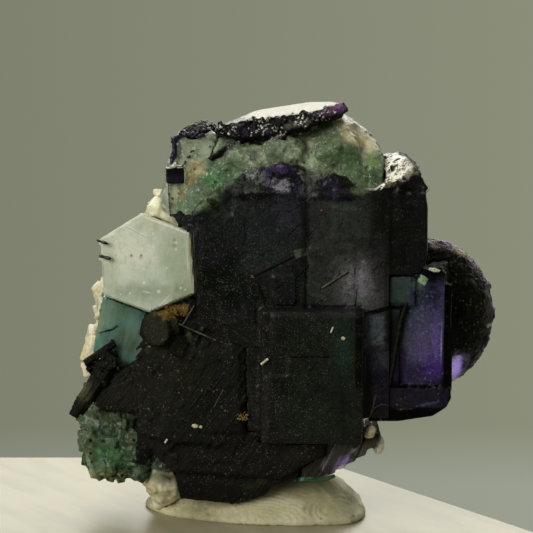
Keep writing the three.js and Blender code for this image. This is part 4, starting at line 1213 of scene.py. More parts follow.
TEAL_PRISM_ZONES = [
    (0.185, 0.756, 1.10, 1.5, 0.8, (138, 162, 138), leaning(HAZY, 14)),
    (0.426, 0.819, 1.5, 0.99, 0.8, (106, 136, 112), HAZY),
    (0.536, 0.506, 1.32, 1.10, 0.8, (96, 116, 92), HAZY),
    (0.605, 0.341, 1.10, 0.88, 0.8, (84, 102, 72), HAZY),
    (0.365, 0.418, 1.10, 0.88, 0.7, (88, 104, 84), HAZY),
    (0.419, 0.129, 1.8, 0.44, 0.9, (76, 84, 60), CLUMP),
    (0.076, 0.579, 0.44, 1.5, 0.8, (146, 158, 134), leaning(VEIL, 14)),
]


def teal_finish(rock):
    """The blue-green prism: blue to the left and green to the right, faintly striped along itself."""
    finish = Finish("Teal aquamarine")
    stripes = finish.grain((0.5, 6, 3.5), detail=4, turn=(0, 14, 0), seed=1)
    colour = finish.painted(
        tuple(rock.teal),
        *finish.zones(TEAL, 0.1, 12, TEAL_PRISM_ZONES),
        (stripes.rising(0.45, 0.66) * 0.25, linear(150, 178, 164)),
    )
    colour = finish.mottled(colour, (0.4, 0.12), (1.4, 0.1), ((0.4, 4, 3.0), 0.08, (0, 14, 0)))
    return finish.surface(
        colour,
        0.2 + stripes * 0.16,
        stripes,
        0.015,
        (linear(150, 210, 205), 30.0),
        IOR=1.57,
        Transmission_Weight=0.2,
    )


TOURMALINE_ZONES = [
    (0.388, 0.663, 4.9, 4.4, 0.8, (22, 24, 12), leaning(HAZY, 36)),
    (0.110, 0.592, 2.6, 1.5, 0.8, (34, 34, 26), HAZY),
    (0.492, 0.536, 1.10, 2.9, 0.8, (4, 4, 4), leaning(HAZY, 32)),
    (0.295, 0.929, 1.6, 1.9, 0.95, (36, 38, 26), DISC),
    (0.349, 0.914, 0.16, 1.32, 0.9, (4, 4, 4), leaning(CLUMP, -12)),
    (0.369, 0.948, 0.33, 0.99, 0.95, (70, 70, 50), leaning(CLUMP, -12)),
    (0.426, 0.880, 0.33, 0.55, 0.9, (66, 70, 52), CLUMP),
    (0.282, 0.803, 1.32, 0.55, 0.8, (42, 44, 30), CLUMP),
    (0.364, 1.000, 1.6, 0.66, 0.95, (114, 88, 32), CLUMP),
    (0.410, 1.020, 0.44, 0.44, 0.9, (128, 110, 58), CLUMP),
    (0.340, 1.020, 0.66, 0.33, 0.9, (138, 106, 38), CLUMP),
    (0.455, 1.020, 0.88, 1.10, 0.9, (4, 4, 4), CLUMP),
    (0.659, 0.394, 6.0, 0.22, 0.9, (4, 4, 4), CLUMP),
    (0.533, 0.234, 3.7, 0.22, 0.8, (4, 4, 4), CLUMP),
    (0.731, 0.135, 0.66, 0.55, 0.9, (38, 42, 24), CLUMP),
    (0.680, 0.093, 0.88, 0.55, 0.8, (32, 36, 20), CLUMP),
    (0.891, 0.301, 2.6, 2.0, 0.6, (30, 30, 22), HAZY),
    (0.236, 0.273, 0.88, 1.5, 0.9, (4, 4, 4), CLUMP),
]

SHEAF_ZONES = [
    (0.336, 0.342, 0.66, 1.32, 0.8, (82, 84, 60), HAZY),
    (0.573, 0.778, 0.88, 0.66, 0.8, (18, 22, 8), HAZY),
    (0.711, 0.425, 0.55, 0.88, 0.8, (14, 18, 6), HAZY),
]


def tourmaline_finish(rock):
    """Black tourmaline: grooved along the crystals, brown where it is worn, dusty in its hollows."""
    finish = Finish("Tourmaline")
    grain_turn = (0, 36, 0)
    grooves = finish.grain((0.2, 0.5, 4.0), detail=4, turn=grain_turn, seed=1)
    worn = finish.grain(2.4, detail=4, seed=2)
    dusty = finish.specks(0.2, 0.3, seed=5) + finish.specks(0.42, 0.12, seed=7)
    colour = finish.painted(
        tuple(rock.tourmaline),
        *finish.zones(MASS, 0.1, 5, TOURMALINE_ZONES),
        *finish.zones(SHEAF, 0.2, 3, SHEAF_ZONES),
        (dusty * worn.rising(0.35, 0.6) * 0.4, tuple(rock.dust)),
        (finish.specks(0.34, 0.25, seed=4) * 0.7, linear(4, 4, 4)),
    )
    colour = finish.mottled(colour, (0.22, 0.5), ((0.2, 0.4, 3.0), 0.4, grain_turn), (1.2, 0.25))
    relief = grooves + finish.grain(0.22, detail=5, rough=0.7, seed=6)
    rough = 0.4 + worn * 0.16 + dusty * 0.2
    return finish.surface(colour, rough, relief, 0.11, IOR=1.5, Specular_IOR_Level=0.12)


def plain_finish(name, colour, other, rough, size_mm=0.3, shine=0.5):
    """A small thing's finish: a colour from 0 to 255 that varies towards another, by grains of a size."""
    finish = Finish(name)
    mottle = finish.grain(size_mm, detail=3)
    mottled = finish.mix(mottle.rising(0.4, 0.7), linear(*colour), linear(*other))
    return finish.surface(mottled, rough, mottle, 0.02, Specular_IOR_Level=shine)


# ---------------------------------------------------------------- one operator for each piece


class PieceOperator(bpy.types.Operator):
    """Makes a piece of the specimen."""

    bl_options = {"REGISTER", "UNDO"}

    def execute(self, context):
        scene = context.scene
        self.make(scene.specimen_sizes, scene.specimen_fluorite, scene.specimen_rock)
        return {"FINISHED"}


# A fingerprint's row: the spot that it is pressed into, and how far its ridges lean.
FINGERPRINTS = [
    ((0.86, 0.0, 0.5), 0.5),
    ((0.6, 0.0, 0.35), -0.4),
    ((0.3, 0.05, 0.4), 0.9),
    ((0.05, 0.4, 0.5), 0.1),
    ((0.95, 0.6, 0.5), -0.8),
    ((0.6, 1.0, 0.5), 0.3),
    ((0.2, 0.95, 0.5), -0.5),
]


class SPECIMEN_OT_putty(PieceOperator):
    """Kneads the putty foot: soft dents, and the ridges of fingers all over it"""

    bl_idname = "specimen.putty"
    bl_label = "Putty"

    def make(self, sizes, fluorite, rock):
        shape = fused(merged_copy(PUTTY), sizes.putty_skin)
        corner = point_at(PUTTY, (0.2, 0, 0.3))

        def overgrown(point, normal):
            return point.x < corner.x and point.z > corner.z

        crumble(shape, 150, 3, (0.3, 1.1), sunk=0.3, lean=50, wanted=overgrown)
        shape = fused(shape, sizes.putty_skin)
        prints = [(point_at(PUTTY, spot) / MM, lean) for spot, lean in FINGERPRINTS]
        turn = 2 * math.pi / (sizes.ridge_spacing / MM)
        tall = sizes.ridge_height / MM

        def surface(point, normal):
            if point.z < 0.15:
                return 0.0
            middle, lean = min(prints, key=lambda print_: (print_[0] - point).length)
            away = point - middle
            across = away.x + away.y * 0.5 + lean * away.z
            along = away.z * 1.4 - lean * away.x * 0.4
            swirl = math.hypot(across * 0.55, along + 1.6) + 0.3 * waves(point, 2.2, 2, 3)
            plain = min(1, max(0.25, 0.7 + 1.2 * waves(point, 2.4, 2, 5)))
            ridge = math.sin(turn * swirl) * tall * 0.8 * plain
            return 0.1 + 0.16 * waves(point, 3.0, 3, 1) + ridge * min(1, (point.z - 0.15) * 2)

        pushed(shape, surface)
        flattened(shape, Vector((0, 0, 0)), Vector((0, 0, -1)), 0.6 * MM)
        finished(shape, "putty_foot", putty_finish(rock), [PUTTY])


class SPECIMEN_OT_feldspar(PieceOperator):
    """Breaks the feldspar matrix into cleaved blocks and crumbs, and roughens its two loose chips"""

    bl_idname = "specimen.feldspar"
    bl_label = "Feldspar"

    def make(self, sizes, fluorite, rock):
        finish = feldspar_finish(rock)
        shape = merged_copy(MATRIX)
        crumble(shape, 280, 5, (0.5, 1.8), sunk=0.36, lean=22)
        crumble(shape, 300, 6, (0.25, 0.6), sunk=0.2)
        crumble(shape, 160, 7, (0.3, 0.9), sunk=0.3, lean=60, wanted=lambda p, n: p.z < 5 * MM)
        shape = fused(shape, sizes.rock_skin)
        pushed(shape, lambda point, normal: 0.05 + 0.07 * waves(point, 1.1, 4, 2))
        finished(shape, "feldspar_blocks", finish, [MATRIX], sharp=50)
        for i, node in enumerate(("feldspar_chip_upper", "feldspar_chip_lower")):
            shape = fused(merged_copy(node), sizes.fine_skin)
            pushed(shape, lambda point, normal: 0.08 + 0.09 * waves(point, 0.7, 3, 5 + i))
            finished(shape, f"feldspar_crumb_{i + 1}", finish, [node])


# A seam's row: the spots it runs through, the number of blocks on each stretch, which is the seed too, their
# sides and their spread in millimetres.
CUBE_SEAMS = [
    ([(0.30, 0.03, 0.485), (0.7, 0.03, 0.49)], 110, (0.08, 0.2), 0.1),
    ([(0.285, 0.07, 0.48), (0.285, 0.07, 0.05)], 40, (0.1, 0.24), 0.08),
    ([(0.47, 0.07, 0.93), (0.47, 0.07, 0.62)], 40, (0.1, 0.28), 0.12),
    ([(0.0, 0.06, 0.8), (0.08, 0.06, 0.87), (0.2, 0.06, 0.93)], 60, (0.2, 0.6), 0.3),
    ([(0.2, 0.07, 0.93), (0.32, 0.07, 0.98), (0.46, 0.08, 0.96)], 50, (0.2, 0.7), 0.3),
    ([(0.48, 0.1, 0.94), (0.56, 0.1, 0.93), (0.6, 0.1, 0.94), (0.72, 0.1, 0.89)], 50, (0.2, 0.7), 0.35),
    ([(0.0, 0.065, 0.4), (0.15, 0.065, 0.48), (0.3, 0.06, 0.6)], 40, (0.1, 0.24), 0.6),
    ([(0.2, 0.065, 0.91), (0.3, 0.065, 0.885), (0.45, 0.07, 0.88)], 36, (0.12, 0.3), 0.2),
    ([(-0.075, 0.2, 0.8), (-0.045, 0.165, 0.79), (0.0, 0.1, 0.77)], 64, (0.12, 0.4), 0.32),
]


class SPECIMEN_OT_dark_cubes(PieceOperator):
    """Grows the near-black cubes: ledges on their faces, crumbled seams, a druse on the right-hand top"""

    bl_idname = "specimen.dark_cubes"
    bl_label = "Dark cubes"

    def make(self, sizes, fluorite, rock):
        self.large_cubes(sizes, dark_finish(fluorite, rock))
        self.small_cube()

    @staticmethod
    def large_cubes(sizes, finish):
        shape = merged_copy(CUBES)
        right = point_at(CUBES, (0.8, 0, 0.9))
        broken = point_at(CUBES, (0, 0, 0.85))

        def on_right_top(point, normal):
            return point.x > right.x and point.z > right.z

        def on_broken_top(point, normal):
            return normal.z > 0.35 and point.y < 0 and point.z > broken.z

        crumble(shape, 700, 8, (0.15, 0.6), sunk=0.25, lean=45, wanted=on_right_top)
        crumble(shape, 260, 9, (0.15, 0.6), sunk=0.25, lean=45, wanted=on_broken_top)
        for spots, count, sides, spread in CUBE_SEAMS:
            seam(shape, CUBES, spots, count, count, sides, spread)
        shape = fused(shape, sizes.coarse_skin)
        levels = [(6.3, 7.2, 0.01), (2.6, 4.1, 0.006)]

        def surface(point, normal):
            across = point.x if abs(normal.y) > 0.7 else point.y
            up = point.z if abs(normal.z) < 0.7 else point.x
            rough = waves(point, 0.8, 3, 4) * (0.05 if normal.z > 0.4 else 0.01)
            return terraces(across, up, levels, 1) - 0.02 + rough

        pushed(shape, surface)
        finished(shape, "dark_cubes", finish, [CUBES], sharp=45)

    @staticmethod
    def small_cube():
        shape = merged_copy(SMALL_CUBE)
        bevelled(shape, 0.08 * MM, 2)
        crumble(shape, 30, 12, (0.12, 0.4), sunk=0.42, lean=12, wanted=lambda p, n: n.z < 0.5)
        shape = fused(shape, SMALL_SKIN)
        finished(shape, "small_dark_cube", crust_finish(), [SMALL_CUBE], sharp=40)


class SPECIMEN_OT_green_heart(PieceOperator):
    """Breaks open the green heart: splinters and stepped breaks, finer towards its upper edge"""

    bl_idname = "specimen.green_heart"
    bl_label = "Green heart"

    def make(self, sizes, fluorite, rock):
        edge = point_at(HEART, (0, 0, 0.75))
        shape = fused(merged_copy(HEART), 2 * sizes.crystal_skin)
        softened(shape, 9)
        crumble(shape, 1100, 16, (0.25, 0.9), sunk=0.42, lean=60)
        crumble(shape, 500, 17, (0.15, 0.45), sunk=0.3, lean=60, wanted=lambda p, n: p.z > edge.z)
        shape = fused(shape, sizes.crystal_skin)
        pushed(shape, lambda point, normal: 0.1 + 0.05 * waves(point, 0.6, 4, 3))
        finished(shape, "green_heart", green_finish(fluorite), [HEART], sharp=45)


class SPECIMEN_OT_clear_crystal(PieceOperator):
    """Makes the clear crystal, with the dark crust along its upper edge and the fine seam down its left"""

    bl_idname = "specimen.clear_crystal"
    bl_label = "Clear crystal"

    def make(self, sizes, fluorite, rock):
        self.crystal(sizes, clear_finish(fluorite))
        self.edge_crust()

    @staticmethod
    def crystal(sizes, finish):
        shape = merged_copy(CLEAR)
        crumble(shape, 160, 22, (0.3, 1.0), sunk=0.45, lean=45)
        shape = fused(shape, sizes.crystal_skin)
        pushed(shape, lambda point, normal: 0.05 + 0.03 * waves(point, 0.7, 4, 3))
        finished(shape, "clear_crystal", finish, [CLEAR], sharp=35)

    @staticmethod
    def edge_crust():
        crust = bmesh.new()
        top = [(0.27, 0.0, 0.66), (0.31, 0.0, 0.78), (0.3, 0.0, 0.93), (0.5, 0.0, 0.985), (0.8, 0.0, 0.97)]
        seam(crust, CLEAR, top, 60, 23, (0.1, 0.3), 0.12)
        branch = [(0.62, -0.01, 0.8), (0.5, -0.01, 0.66), (0.42, -0.01, 0.58)]
        seam(crust, CLEAR, branch, 16, 25, (0.08, 0.2), 0.08)
        add_bent(crust, CLEAR, [(0.2, -0.02, 0.4), (0.21, -0.03, 0.2), (0.235, -0.03, 0.03)], 0.06, 5)
        seam(crust, CLEAR, [(0.21, -0.02, 0.3), (0.235, -0.02, 0.03)], 14, 24, (0.07, 0.15), 0.05)
        crust = fused(crust, CRUST_SKIN, loose=True)
        purple = plain_finish("Purple crust", (34, 26, 52), (16, 14, 20), 0.3)
        finished(crust, "purple_edge_crust", purple, sharp=45)


# The crust's front edge, from left to right.
CAP_EDGE = [
    (0.04, 0.03, 0.3),
    (0.22, 0.03, 0.12),
    (0.52, 0.03, 0.25),
    (0.75, 0.04, 0.5),
    (0.93, 0.08, 0.75),
]

# A crust seam's row: a CAD node, the spots, the number of blocks on each stretch, the seed, and the blocks'
# sides and their spread in millimetres.
CRUST_SEAMS = [
    (CAP, CAP_EDGE, 90, 34, (0.15, 0.6), 0.26),
    (HEART, [(0.33, 0.17, 0.84), (0.245, 0.17, 0.77), (0.17, 0.13, 0.7)], 60, 35, (0.12, 0.42), 0.12),
    (HEART, [(0.3, 0.2, 0.86), (0.4, 0.2, 0.83), (0.52, 0.1, 0.86)], 70, 36, (0.12, 0.4), 0.16),
]


class SPECIMEN_OT_black_crust(PieceOperator):
    """Crumbles the crust that caps the green heart, and the knob of small crystals beside it"""

    bl_idname = "specimen.black_crust"
    bl_label = "Black crust"

    def make(self, sizes, fluorite, rock):
        finish = crust_finish()
        self.cap(sizes, finish)
        self.knob(sizes, finish)

    @staticmethod
    def cap(sizes, finish):
        shape = fused(merged_copy(CAP), 0.2 * MM)
        softened(shape, 4)
        crumble(shape, 170, 31, (0.5, 1.1), sunk=0.42, lean=50, wanted=lambda p, n: n.y < -0.5 and n.z < 0.3)
        crumble(shape, 600, 32, (0.12, 0.45), sunk=0.3, lean=60, wanted=lambda p, n: n.z < 0.7)
        for node, spots, count, seed, sides, spread in CRUST_SEAMS:
            seam(shape, node, spots, count, seed, sides, spread)
        shape = fused(shape, sizes.fine_skin, loose=True)

        def surface(point, normal):
            return 0.04 * waves(point, 0.9, 4, 2) * (0.15 if normal.z > 0.85 else 1.2)

        pushed(shape, surface)
        finished(shape, "dark_cap", finish, [CAP], sharp=45)

    @staticmethod
    def knob(sizes, finish):
        shape = merged_copy("fluorite_black_knob")
        crumble(shape, 300, 33, (0.15, 0.5), sunk=0.25, lean=60)
        shape = fused(shape, sizes.fine_skin * 0.8)
        finished(shape, "black_knob", finish, ["fluorite_black_knob"], sharp=45)


# The olive bar's bends, from the top down.
BAR_SPOTS = [
    (0.48, 0.01, 0.785),
    (0.41, 0.01, 0.67),
    (0.36, 0.01, 0.5),
    (0.33, 0.01, 0.38),
    (0.28, 0.01, 0.24),
]

# The narrow columns at the right-hand edge: a spot, the sides in millimetres and a lean in degrees.
EDGE_COLUMNS = [
    ((0.932, 0.12, 0.70), (0.8, 1.6, 6.2), 0.8),
    ((0.942, 0.11, 0.40), (0.8, 1.6, 7.0), -0.6),
]


class SPECIMEN_OT_purple_cubes(PieceOperator):
    """Makes the purple cubes, with the olive bar and the low ledges on their faces"""

    bl_idname = "specimen.purple_cubes"
    bl_label = "Purple cubes"

    def make(self, sizes, fluorite, rock):
        self.cubes(sizes, purple_finish())
        self.olive_bar()

    @staticmethod
    def cubes(sizes, finish):
        shape = merged_copy(PURPLE)
        seam(shape, PURPLE, [(0.3, 0.02, 0.235), (0.9, 0.02, 0.225)], 40, 43, (0.06, 0.16), 0.06)
        seam(shape, PURPLE, [(0.0, 0.02, 0.74), (0.3, 0.02, 0.76)], 30, 44, (0.08, 0.2), 0.08)
        crumble(shape, 700, 46, (0.15, 0.45), sunk=0.3, lean=60, wanted=lambda p, n: n.z > 0.8)
        for spot, sides, lean in EDGE_COLUMNS:
            tilt = Matrix.Rotation(math.radians(lean), 3, "Y")
            add_block(shape, point_at(PURPLE, spot), Vector(sides) * MM, tilt)
        shape = fused(shape, sizes.crystal_skin)
        levels = [(2.9, 6.1, 0.03), (1.4, 2.3, 0.02)]

        def surface(point, normal):
            across = point.x if abs(normal.y) > 0.7 else point.y
            return terraces(across, point.z, levels, 4) - 0.02 + 0.012 * waves(point, 0.8, 3, 2)

        pushed(shape, surface)
        finished(shape, "purple_cubes", finish, [PURPLE], sharp=40)

    @staticmethod
    def olive_bar():
        bar = bmesh.new()
        add_bent(bar, PURPLE, BAR_SPOTS, 0.24)
        seam(bar, PURPLE, BAR_SPOTS, 16, 45, (0.08, 0.2), 0.12)
        bar = fused(bar, BAR_SKIN)
        olive = plain_finish("Olive bar", (22, 22, 13), (10, 10, 7), 0.6, 0.5, shine=0.12)
        finished(bar, "olive_rod", olive, sharp=40)


class SPECIMEN_OT_drusy_lobe(PieceOperator):
    """Rounds the lobe off and covers it with a sugary crust of tiny cubes"""

    bl_idname = "specimen.drusy_lobe"
    bl_label = "Drusy lobe"

    def make(self, sizes, fluorite, rock):
        self.lobe(sizes, druse_finish())
        self.rods()

    @staticmethod
    def lobe(sizes, finish):
        shape = fused(merged_copy(LOBE), sizes.rock_skin)
        softened(shape, 8)
        pushed(shape, lambda point, normal: 0.12)
        crumble(shape, sizes.druse_count, 52, (0.16, 0.42), sunk=0.34, lean=180)
        shape = fused(shape, sizes.fine_skin)
        finished(shape, "drusy_lobe", finish, [LOBE], sharp=40)

    @staticmethod
    def rods():
        rods = bmesh.new()
        add_bent(rods, LOBE, [(0.61, 0.1, 0.284), (0.658, 0.08, 0.378)], 0.09, 5)
        add_bent(rods, LOBE, [(0.531, 0.14, 0.19), (0.602, 0.12, 0.256)], 0.11, 5)
        grey = plain_finish("Grey rods", (84, 82, 66), (30, 30, 24), 0.5, 0.4, shine=0.2)
        finished(rods, "lobe_rods", grey, sharp=40)


class SPECIMEN_OT_fan(PieceOperator):
    """Grooves the blades of the fan along their length"""

    bl_idname = "specimen.fan"
    bl_label = "Fan of blades"

    def make(self, sizes, fluorite, rock):
        self.blades(sizes, fan_finish())
        self.lower_edge()

    @staticmethod
    def blades(sizes, finish):
        draw = random.Random(61)
        shape = merged_copy(FAN)
        for _ in range(46):
            share, deep = draw.random(), draw.uniform(0.01, 0.08)
            foot = point_at(FAN, (0.02 + 0.94 * share, deep, 0.02 + 0.85 * share**2.4))
            top = point_at(FAN, (0.3 + 0.68 * share, deep, draw.uniform(0.7, 0.96)))
            add_rod(shape, foot.lerp(top, draw.uniform(0.2, 0.5)), top, draw.uniform(0.08, 0.2) * MM, 5)
        seam(shape, FAN, [(-0.03, 0.06, 0.1), (0.0, 0.05, 0.5), (0.3, 0.04, 0.98)], 60, 62, (0.3, 0.7), 0.2)
        shape = fused(shape, sizes.fine_skin)

        def streaks(point, normal):
            return 0.03 * waves(Vector((point.x * 3, point.y, point.z * 0.7)), 1.2, 3, 2)

        pushed(shape, streaks)
        finished(shape, "blade_fan", finish, [FAN], sharp=40)

    @staticmethod
    def lower_edge():
        edge = bmesh.new()
        foot = [(0.0, 0.04, 0.1), (0.2, 0.03, 0.05), (0.36, 0.03, 0.07), (0.46, 0.04, 0.14)]
        add_bent(edge, FAN, foot, 0.2)
        edge = fused(edge, BAR_SKIN)
        glow = plain_finish("Green edge", (40, 84, 60), (20, 46, 34), 0.2, 0.8)
        finished(edge, "green_lower_edge", glow, sharp=40)


class SPECIMEN_OT_green_cluster(PieceOperator):
    """Grows smaller cubes over the green cluster, and makes the wedge beside it"""

    bl_idname = "specimen.green_cluster"
    bl_label = "Green cluster"

    def make(self, sizes, fluorite, rock):
        finish = cluster_finish()
        shape = merged_copy(CLUSTER)
        crumble(shape, 260, 72, (0.4, 1.5), sunk=0.36, lean=35)
        crumble(shape, 260, 74, (0.2, 0.5), sunk=0.25, lean=60)
        shape = fused(shape, sizes.crystal_skin * 0.9)
        pushed(shape, lambda point, normal: 0.02 + 0.02 * waves(point, 0.9, 4, 3))
        finished(shape, "green_cubes", finish, [CLUSTER], sharp=38)

        shape = merged_copy("fluorite_green_wedge")
        crumble(shape, 24, 73, (0.3, 0.8), sunk=0.4, lean=20)
        shape = fused(shape, sizes.fine_skin)
        finished(shape, "green_wedge", finish, ["fluorite_green_wedge"], sharp=38)


class SPECIMEN_OT_aquamarines(PieceOperator):
    """Makes both aquamarine prisms, and the black needles that lie across them"""

    bl_idname = "specimen.aquamarines"
    bl_label = "Aquamarines"

    def make(self, sizes, fluorite, rock):
        self.prism(HEXAGON, sizes, "pale_aquamarine", aquamarine_finish(rock))
        self.prism(TEAL, sizes, "teal_aquamarine", teal_finish(rock))
        self.needles()

    @staticmethod
    def prism(node, sizes, name, finish):
        """A prism with its own name, its front end kept flat."""
        shape = merged_copy(node)
        shape.normal_update()
        ends = [face for face in shape.faces if face.normal.y < -0.9]
        end = max(ends, key=lambda face: face.normal.dot(face.calc_center_median()))
        point, normal = end.calc_center_median(), end.normal.copy()
        crumble(shape, 70, 83, (0.15, 0.5), sunk=0.42, lean=12, wanted=lambda p, n: n.y > -0.9)
        shape = fused(shape, sizes.crystal_skin)
        pushed(shape, lambda point, normal: 0.05 + 0.012 * waves(point, 1.5, 3, 4))
        flattened(shape, point + normal * 0.05 * MM, normal, 0.5 * MM)
        finished(shape, name, finish, [node], sharp=40)

    @staticmethod
    def needles():
        draw = random.Random(81)
        needles = bmesh.new()
        for spots in (
            ((-0.01, 0.03, 0.785), (0.10, 0.02, 0.755)),
            ((0.02, 0.02, 0.652), (0.12, 0.008, 0.632)),
        ):
            start, end = (point_at(HEXAGON, spot) for spot in spots)
            add_rod(needles, start, end, 0.14 * MM)
            for _ in range(12):
                middle = start.lerp(end, draw.random())
                add_grain(needles, middle, draw.uniform(0.14, 0.24) * MM, any_turn(draw))
        add_bent(needles, TEAL, [(0.09, -0.01, 0.53), (0.2, -0.02, 0.565)], 0.08)
        add_bent(needles, TEAL, [(0.2, -0.02, 0.565), (0.27, -0.01, 0.575), (0.36, -0.01, 0.63)], 0.12)
        needles = fused(needles, SMALL_SKIN, loose=True)
        black = plain_finish("Black needles", (14, 14, 13), (30, 29, 25), 0.35, 0.4)
        finished(needles, "aquamarine_needles", black, sharp=45)


# The shards beside the disc: a spot, the sides in millimetres and a lean in degrees.
SHARDS = [
    ((0.37, 0.01, 0.94), (0.5, 0.3, 1.9), -14),
    ((0.43, 0.06, 0.885), (0.6, 0.3, 1.1), 20),
    ((0.40, 0.03, 0.86), (0.3, 0.3, 0.9), -30),
]

# How far the tourmaline's grooves lean to the right, in radians.
GROOVE_LEAN = 0.66

# The crumbs where the mass has grown against its neighbours, in rows like those of CUBE_SEAMS.
MASS_SEAMS = [
    ([(0.34, 0.12, 1.0), (0.42, 0.12, 1.0)], 90, (0.2, 0.6), 0.4),
    ([(0.44, 0.14, 1.04), (0.47, 0.13, 0.93), (0.56, 0.1, 0.87)], 90, (0.25, 0.7), 0.35),
    ([(0.56, 0.08, 0.87), (0.65, 0.07, 0.82), (0.65, 0.07, 0.6), (0.65, 0.08, 0.38)], 70, (0.2, 0.5), 0.14),
    ([(0.65, 0.08, 0.38), (0.8, 0.08, 0.39), (0.95, 0.08, 0.39)], 60, (0.2, 0.45), 0.12),
]


class SPECIMEN_OT_tourmaline(PieceOperator):
    """Builds up the black tourmaline: grooved crystals side by side, and the loose sheaf"""

    bl_idname = "specimen.tourmaline"
    bl_label = "Tourmaline"

    def make(self, sizes, fluorite, rock):
        finish = tourmaline_finish(rock)
        draw = random.Random(91)
        self.mass(sizes, finish, draw)
        self.sheaf(finish, draw)

    def mass(self, sizes, finish, draw):
        shape = merged_copy(MASS)
        self.front_rods(shape, draw)
        crumble(shape, 700, 93, (0.12, 0.4), sunk=0.36)
        self.disc(shape)
        for spots, count, sides, spread in MASS_SEAMS:
            seam(shape, MASS, spots, count, count, sides, spread)
        shape = fused(shape, sizes.rock_skin)

        def surface(point, normal):
            across = point.x * math.cos(GROOVE_LEAN) - point.z * math.sin(GROOVE_LEAN)
            groove = math.sin(across * 9.0 + 3 * waves(point, 3.0, 2, 3))
            return 0.01 * groove + 0.02 * waves(point, 0.6, 3, 6) + 0.03

        pushed(shape, surface)
        finished(shape, "tourmaline_mass_grooved", finish, [MASS], sharp=50)

    @staticmethod
    def front_rods(shape, draw):
        """Lays slender crystals side by side on the front, leaning the way the grooves do."""
        low, high = point_at(MASS, (0.15, 0, 0.25)), point_at(MASS, (0.85, 0, 0))

        def on_front(point, normal):
            return normal.y < -0.8 and low.x < point.x < high.x and point.z > low.z

        rods = []
        for point, normal in scattered(shape, 170, 92, on_front):
            lean = math.radians(draw.gauss(36, 6))
            reach = Vector((math.sin(lean), 0, math.cos(lean))) * draw.uniform(0.8, 4.0) * MM
            radius = draw.uniform(0.06, 0.2) * MM
            middle = point - normal * radius * 0.75
            rods.append((middle - reach / 2, middle + reach / 2, radius, draw.choice((3, 6, 9))))
        add_many(shape, add_rod, rods)

    @staticmethod
    def disc(shape):
        """Adds the disc, which is a crystal's end, and the shards at its side."""
        middle = point_at(MASS, (0.295, 0.0, 0.925))
        start, end = (middle + Vector(away) * MM for away in ((0.9, 1.3, 0), (-0.12, -0.3, 0)))
        add_rod(shape, start, end, 1.85 * MM, 26)
        roll = Matrix.Rotation(math.radians(24), 3, "Z")
        for spot, sides, lean in SHARDS:
            tilt = Matrix.Rotation(math.radians(lean), 3, "Y") @ roll
            add_block(shape, point_at(MASS, spot), Vector(sides) * MM, tilt)

    @staticmethod
    def sheaf(finish, draw):
        shape = merged_copy(SHEAF)
        rods = []
        for _ in range(26):
            share = draw.random()
            start = point_at(SHEAF, (0.02 + 0.2 * share, draw.uniform(0.1, 0.5), 0.04 + 0.1 * draw.random()))
            end = point_at(SHEAF, (0.6 + 0.25 * share, draw.uniform(0.1, 0.6), 0.6 + 0.14 * draw.random()))
            cut = draw.uniform(0, 0.35)
            far = start.lerp(end, draw.uniform(0.8, 1))
            rods.append((start.lerp(end, cut), far, draw.uniform(0.09, 0.2) * MM))
        add_many(shape, add_rod, rods)
        knot = point_at(SHEAF, (0, 0, 0.45))
        crumble(shape, 90, 95, (0.15, 0.5), sunk=0.2, lean=45, wanted=lambda p, n: p.z > knot.z)
        shape = fused(shape, SHEAF_SKIN)
        finished(shape, "tourmaline_rods", finish, [SHEAF], sharp=45)


# A rod's row: the CAD node it lies on, the spots it runs through and its radius in millimetres.
DARK_RODS = [
    (CUBES, [(0.255, 0.05, 0.6), (0.43, 0.052, 0.672)], 0.17),
    (CUBES, [(0.276, 0.048, 0.572), (0.31, 0.04, 0.487)], 0.07),
    (CUBES, [(0.357, 0.042, 0.516), (0.42, 0.05, 0.58), (0.49, 0.064, 0.64)], 0.08),
    (CUBES, [(0.68, 0.08, 0.84), (0.76, 0.08, 0.843)], 0.1),
]

# The pale rods, in rows of the same kind.
GREY_RODS = [
    (CUBES, [(0.548, 0.063, 0.556), (0.66, 0.063, 0.616)], 0.11),
    (MASS, [(0.32, 0.02, 0.985), (0.42, 0.01, 0.93), (0.54, 0.02, 0.865)], 0.09),
    (MASS, [(0.45, 0.01, 1.04), (0.40, 0.01, 0.94)], 0.07),
    (MASS, [(0.57, 0.0, 0.62), (0.53, 0.0, 0.53)], 0.04),
    (PURPLE, [(0.08, -0.01, 0.05), (0.14, -0.01, 0.18)], 0.07),
    (PURPLE, [(0.1, -0.01, 0.08), (0.12, -0.01, 0.19)], 0.05),
    (PURPLE, [(0.05, -0.01, 0.02), (0.12, -0.03, 0.1), (0.2, -0.03, 0.125), (0.28, -0.01, 0.11)], 0.035),
]

# The short bright crystals, in rows of the same kind.
BRIGHT_RODS = [
    (CUBES, [(0.29, -0.005, 0.292), (0.32, -0.005, 0.312)], 0.15),
    (CUBES, [(0.585, -0.005, 0.405), (0.595, -0.005, 0.425)], 0.1),
    (MASS, [(0.325, 0.02, 0.345), (0.335, 0.02, 0.365)], 0.12),
]

# A bright grain's row: the CAD node it sits on, its spot and its radii in millimetres.
BRIGHT_GRAINS = [
    (CUBES, (0.638, -0.003, 0.385), (0.26, 0.12, 0.24)),
    (MASS, (0.45, 0.03, 0.43), (0.42, 0.2, 0.26)),
    (MASS, (0.475, 0.03, 0.425), (0.22, 0.16, 0.2)),
    (MASS, (0.262, 0.02, 0.835), (0.13, 0.1, 0.13)),
    (PURPLE, (0.768, 0.0, 0.985), (0.75, 0.2, 0.26)),
    (PURPLE, (0.85, 0.04, 0.925), (0.4, 0.14, 0.15)),
]

